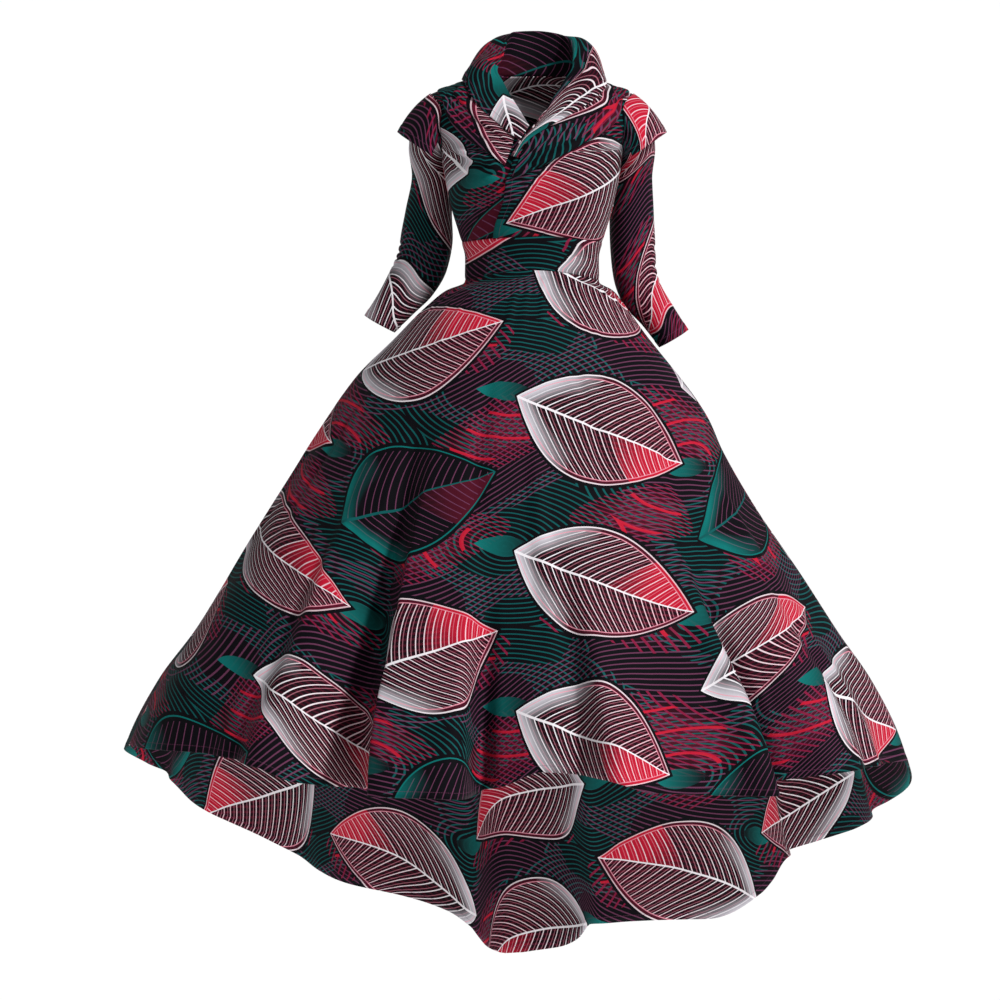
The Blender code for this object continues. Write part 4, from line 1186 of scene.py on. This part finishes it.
# The skirt: level sections, the hem's height round the skirt, and its folds
skirt = {
    "cuts": {
        "front": {"node": "skirt_front", "flat": (2.20, 0.98), "area": 1.20, "shift": (0.02, 0.10)},
        "back": {"node": "skirt_back", "flat": (3.00, 1.50), "area": 1.80, "shift": (0.21, 0.15)},
    },
    "columns": {"front": 290, "back": 320},
    "rows": 120,
    "rowGrowth": 1.25,  # above 1, rows are closer together at the waist, where the gathers are
    "archFade": 3,
    "seamFoot": -1.120,  # the lower end of the side seams
    # height, half width, shift to the wearer's left, front, back
    "sections": np.array([
        (-1.530, 0.765, -0.004, 0.540, 0.735),
        (-1.400, 0.725, -0.012, 0.520, 0.690),
        (-1.250, 0.690, -0.024, 0.490, 0.625),
        (-1.120, 0.655, -0.027, 0.460, 0.560),
        (-1.018, 0.605, -0.027, 0.425, 0.505),
        (-0.935, 0.547, -0.026, 0.395, 0.455),
        (-0.838, 0.487, -0.028, 0.360, 0.402),
        (-0.722, 0.411, -0.030, 0.315, 0.338),
        (-0.627, 0.354, -0.028, 0.277, 0.290),
        (-0.564, 0.321, -0.024, 0.250, 0.258),
        (-0.501, 0.277, -0.024, 0.220, 0.224),
        (-0.430, 0.213, -0.017, 0.180, 0.180),
        (-0.376, 0.165, -0.010, 0.140, 0.137),
        (-0.350, 0.137, -0.004, 0.115, 0.110),
        (-0.338, 0.1142, 0.000, 0.095, 0.089),
        (-0.332, 0.1130, 0.000, 0.094, 0.088),
    ]),
    # angle from the front with the wearer's left positive, height
    "hem": np.array([
        (-180.5, -1.543), (-178.3, -1.544), (-175.3, -1.530), (-173.4, -1.509), (-171.8, -1.488),
        (-169.0, -1.462), (-154.0, -1.406), (-133.0, -1.279), (-113.0, -1.184), (-90.0, -1.125),
        (-64.0, -1.119), (-41.0, -1.134), (-35.0, -1.161), (-21.0, -1.176), (-12.0, -1.177),
        (-8.0, -1.181), (-5.0, -1.171), (-2.4, -1.165), (4.0, -1.138), (13.0, -1.149),
        (20.0, -1.172), (28.0, -1.178), (39.0, -1.181), (44.0, -1.165), (60.0, -1.148),
        (85.0, -1.149), (104.0, -1.210), (118.0, -1.266), (127.0, -1.302), (132.0, -1.325),
        (137.0, -1.346), (140.6, -1.360), (144.7, -1.403), (147.5, -1.428), (156.0, -1.476),
        (166.0, -1.479), (169.5, -1.481), (171.1, -1.484), (173.4, -1.515), (175.3, -1.530),
        (179.5, -1.543),
    ]),
    # angle at the top and at the hem, depth at the hem, half width towards the wearer's right and left,
    # start down the skirt, lean to the left
    "folds": [
        (-70, -72, 0.010, 11, 11, 0.30, 0),
        (-52, -55, -0.026, 11, 9, 0.25, 0),
        (-38, -41, 0.022, 8, 9, 0.35, 0),
        (-31, -25, -0.086, 17, 8, 0.16, 0),
        (-23, -16, 0.030, 6, 8, 0.18, -0.058),
        (-12, -11, 0.024, 8, 5, 0.40, 0.034),
        (-6, -5, -0.074, 6, 15, 0.42, 0),
        (9, 9, -0.030, 9, 5, 0.50, 0),
        (14, 15, 0.030, 5, 9, 0.42, 0),
        (24, 25, -0.014, 8, 8, 0.45, 0),
        (36, 37, 0.024, 7, 6, 0.40, 0.018),
        (42, 44, -0.052, 6, 10, 0.38, 0),
        (55, 57, 0.018, 11, 11, 0.30, 0),
        (74, 76, -0.026, 10, 13, 0.35, 0),
        (99, 101, 0.006, 10, 10, 0.30, 0),
        (114, 115, -0.014, 9, 9, 0.28, 0),
        (124, 124, 0.014, 9, 9, 0.30, 0),
        (136, 134.5, -0.054, 9, 7, 0.26, 0),
        (150, 151, 0.026, 11, 11, 0.28, 0),
        (168, 169, -0.066, 11, 8, 0.30, 0),
        (180, 180, 0.048, 9, 9, 0.30, 0.018),
        (-173, -172, -0.056, 7, 9, 0.35, 0),
        (-160, -161, 0.042, 11, 11, 0.25, 0),
        (-146, -145, -0.038, 10, 13, 0.30, 0),
        (-130, -131, 0.024, 11, 11, 0.28, 0),
        (-115, -114, -0.010, 9, 9, 0.35, 0),
        (-101, -100, 0.016, 9, 9, 0.40, 0),
    ],
    "foldFull": 1.15,
    # small gathers under the waistband: width and wander in degrees, rise in metres, lengths in shares
    "gathers": 46,
    "gatherWidth": 3.4,
    "gatherWander": 2.6,
    "gatherRise": 0.0026,
    "gatherRiseSpread": 0.55,
    "gatherLength": 0.16,
    "gatherLengthSpread": 0.07,
    "gatherStart": 0.03,
    # three waves that set the place, the rise and the length of one gather after another
    "gatherWaves": (2.3, 1.7, 3.1),
    "creaseDegrees": 100,  # for 1 in the angle of a crease
    # soft creases on the fall: angle and share of the way down, start and end, bow, rise, half width
    "creases": [
        (-0.325, 0.20, -0.212, 1.90, 0.00, -0.0300, 0.045),
        (-0.250, 0.24, -0.152, 1.90, 0.00, 0.0140, 0.040),
        (-0.058, 0.56, -0.056, 1.80, 0.00, -0.0280, 0.034),
        (-0.106, 0.56, -0.102, 1.80, 0.00, 0.0140, 0.036),
        (0.405, 0.46, 0.448, 1.60, 0.00, -0.0280, 0.040),
        (0.355, 0.46, 0.385, 1.60, 0.00, 0.0140, 0.044),
        (0.096, 0.56, 0.098, 1.60, 0.00, -0.0150, 0.040),
        (0.140, 0.56, 0.146, 1.60, 0.00, 0.0080, 0.040),
        (-0.470, 0.42, -0.480, 1.60, 0.00, -0.0160, 0.050),
        (0.640, 0.48, 0.660, 1.60, 0.00, -0.0140, 0.050),
        (1.360, 0.30, 1.346, 1.50, 0.00, -0.0160, 0.040),
        (1.690, 0.34, 1.690, 1.50, 0.00, -0.0200, 0.040),
        (-1.730, 0.40, -1.720, 1.50, 0.00, -0.0180, 0.040),
        (-1.460, 0.34, -1.450, 1.50, 0.00, -0.0120, 0.050),
        (-1.150, 0.40, -1.140, 1.50, 0.00, -0.0100, 0.050),
        (1.150, 0.32, 1.160, 1.50, 0.00, -0.0080, 0.045),
        (-0.62, 0.20, -0.70, 0.62, 0.02, -0.0060, 0.045),
        (-0.44, 0.30, -0.47, 0.86, -0.02, 0.0050, 0.035),
        (-0.10, 0.16, -0.07, 0.55, 0.02, -0.0060, 0.045),
        (0.06, 0.30, 0.08, 0.80, 0.01, 0.0060, 0.035),
        (0.20, 0.12, 0.24, 0.50, -0.02, -0.0050, 0.040),
        (0.50, 0.22, 0.48, 0.70, 0.02, -0.0065, 0.045),
        (0.66, 0.36, 0.68, 0.90, 0.02, 0.0060, 0.040),
        (0.88, 0.20, 0.90, 0.66, -0.02, -0.0060, 0.045),
        (1.08, 0.30, 1.10, 0.84, 0.02, 0.0055, 0.035),
        (1.34, 0.18, 1.33, 0.60, 0.01, -0.0060, 0.045),
        (1.58, 0.34, 1.60, 0.88, -0.02, -0.0070, 0.045),
        (-1.66, 0.26, -1.67, 0.76, 0.02, 0.0060, 0.040),
        (-1.38, 0.20, -1.37, 0.64, -0.02, -0.0060, 0.045),
        (-1.08, 0.34, -1.07, 0.90, 0.02, -0.0055, 0.040),
        (-0.86, 0.24, -0.88, 0.72, 0.01, 0.0055, 0.040),
    ],
}
skirtWidth, skirtShift, skirtFront, skirtBack = 1, 2, 3, 4  # columns of the sections


def skirtFolds(angle, share):
    # how far the skirt stands out of its section, and how far a fold leans over
    s = skirt
    depth, lean = 0, 0
    for top, hem, rise, right, left, start, over in s["folds"]:
        aside = turned(angle - top - (hem - top) * share)
        growth = ease((share - start) / (s["foldFull"] - start))
        growth = growth * bump(aside / np.where(aside < 0, right, left))
        depth, lean = depth + rise * growth, lean + over * growth
    for i in range(s["gathers"]):
        placeWave, riseWave, lengthWave = (math.sin(wave * i) for wave in s["gatherWaves"])
        place = i * 360 / s["gathers"] + s["gatherWander"] * placeWave
        length = s["gatherLength"] + s["gatherLengthSpread"] * lengthWave
        rise = s["gatherRise"] * (1 + s["gatherRiseSpread"] * riseWave)
        fade = ease(share / s["gatherStart"]) * ease((length - share) / length)
        depth = depth + rise * fade * bump(turned(angle - place) / s["gatherWidth"])
    unitOf = s["creaseDegrees"]
    depth = depth + creases(s["creases"], turned(angle) / unitOf, share, wrap=360 / unitOf)
    return depth, lean


def onSkirt(angle, share):
    # a point of the skirt, by the angle from the front and the share of the way from waist seam to hem
    s = skirt
    sine, cosine = np.sin(np.radians(angle)), np.cos(np.radians(angle))
    arch = body["bandArch"] * np.clip(cosine, 0, 1) ** 2
    top = body["bandHem"] + arch - 0.5 * cloth["seamGap"]
    hemAngle = turned(angle)
    hem = column(s["hem"], 1, np.where(hemAngle > s["hem"][-1, 0], hemAngle - 360, hemAngle))
    height = top + (hem - top) * share
    level = height - arch * (1 - ease(s["archFade"] * share))
    wide, aside, front, back = (
        column(s["sections"], number, level) for number in (skirtWidth, skirtShift, skirtFront, skirtBack)
    )
    deep = np.where(cosine < 0, back, front)
    outward = unit(np.stack([sine / wide, -cosine / deep, 0 * wide], -1))
    sideways = np.stack([-outward[..., 1], outward[..., 0], 0 * wide], -1)
    depth, lean = skirtFolds(angle, share)
    point = np.stack([aside + wide * sine, -deep * cosine, height], -1)
    return point + outward * depth[..., None] + sideways * np.asarray(lean)[..., None]


def makeSkirt(name, panel, middle):
    # half of the skirt, about the middle angle and just short of the side seams
    s = skirt
    columns = s["columns"][panel]
    share = (np.linspace(0, 1, s["rows"]) ** s["rowGrowth"])[:, None]
    top, low = column(s["sections"], skirtWidth, np.array([body["bandHem"], s["seamFoot"]]))
    reach = 90 - np.degrees(0.5 * cloth["seamGap"] / (top * (1 - share) + low * share))
    angle = middle + reach * np.linspace(-1, 1, columns)[None]
    points = onSkirt(angle, share)
    addSheet(name, s["cuts"][panel], points, middle=columns // 2, edges=("lastRow",))


makeSkirt("skirtFront", "front", 0)
makeSkirt("skirtBack", "back", 180)
print("skirt made")

# A white studio with a soft sun, and the camera of the picture
studio = {
    "floorHeight": -1.74,
    "floorHalfSize": 90.0,
    "floorColour": "fdfdfd",
    "floorRoughness": 0.9,
    "skyColour": "ffffff",
    "skyStrength": 0.34,
    "sunStrength": 3.75,
    "sunSoftness": 7,
    "sunFrom": (47, 38),  # degrees to the viewer's right, and up
    "bounceSize": (1.4, 1.3),  # light that the pale floor sends up under the hem
    "bouncePlace": (0, 0.1, -1.72),
    "bouncePower": 7,
    "metresEachPixel": 0.0017,
    "imageSize": 1000,
    "originPixel": (532, 85),
    "cameraElevation": 4,
    "cameraDistance": 60.0,
    "cameraReach": 400,
    "sensor": 36.0,
}


def makeStudio():
    s = studio
    bpy.ops.object.select_all(action="DESELECT")
    bpy.ops.mesh.primitive_plane_add(size=2 * s["floorHalfSize"], location=(0, 0, s["floorHeight"]))
    floor = bpy.context.active_object
    floor.name = "floor"
    paper = bpy.data.materials.new("matteStudioPaper")  # seamless paper: matte and even
    paper.use_nodes = True
    matte = paper.node_tree.nodes["Principled BSDF"]
    matte.inputs["Base Color"].default_value = linear(s["floorColour"])
    matte.inputs["Roughness"].default_value = s["floorRoughness"]
    floor.data.materials.append(paper)
    scene = bpy.context.scene
    scene.world = bpy.data.worlds.new("studio")
    scene.world.use_nodes = True
    sky = scene.world.node_tree.nodes["Background"]
    sky.inputs["Color"].default_value = linear(s["skyColour"])
    sky.inputs["Strength"].default_value = s["skyStrength"]
    sun = bpy.data.objects.new("softSun", bpy.data.lights.new("softSun", "SUN"))
    sun.data.energy = s["sunStrength"]
    sun.data.angle = math.radians(s["sunSoftness"])
    fromSide, up = s["sunFrom"]
    sun.rotation_euler = (math.radians(90 - up), 0, math.radians(fromSide))
    scene.collection.objects.link(sun)
    bounce = bpy.data.objects.new("floorBounce", bpy.data.lights.new("floorBounce", "AREA"))
    bounce.data.shape = "RECTANGLE"
    bounce.data.size, bounce.data.size_y = s["bounceSize"]
    bounce.data.energy = s["bouncePower"]
    bounce.location = s["bouncePlace"]
    bounce.rotation_euler = (math.pi, 0, 0)
    bounce.visible_camera = False
    scene.collection.objects.link(bounce)
    scene.view_settings.view_transform = "Standard"


def makeCamera():
    s = studio
    tilt = math.radians(s["cameraElevation"])
    half = s["imageSize"] / 2
    x = (half - s["originPixel"][0]) * s["metresEachPixel"]
    z = (s["originPixel"][1] - half) * s["metresEachPixel"] / math.cos(tilt)
    camera = bpy.data.objects.new("camera", bpy.data.cameras.new("camera"))
    camera.data.sensor_width = s["sensor"]
    camera.data.lens = s["sensor"] * s["cameraDistance"] / (s["imageSize"] * s["metresEachPixel"])
    camera.data.clip_end = s["cameraReach"]
    back, up = s["cameraDistance"] * math.cos(tilt), s["cameraDistance"] * math.sin(tilt)
    camera.location = (x, -back, z + up)
    camera.rotation_euler = (math.pi / 2 - tilt, 0, 0)
    bpy.context.scene.collection.objects.link(camera)
    bpy.context.scene.camera = camera


makeStudio()
makeCamera()
print("studio made")

bpy.context.view_layer.update()
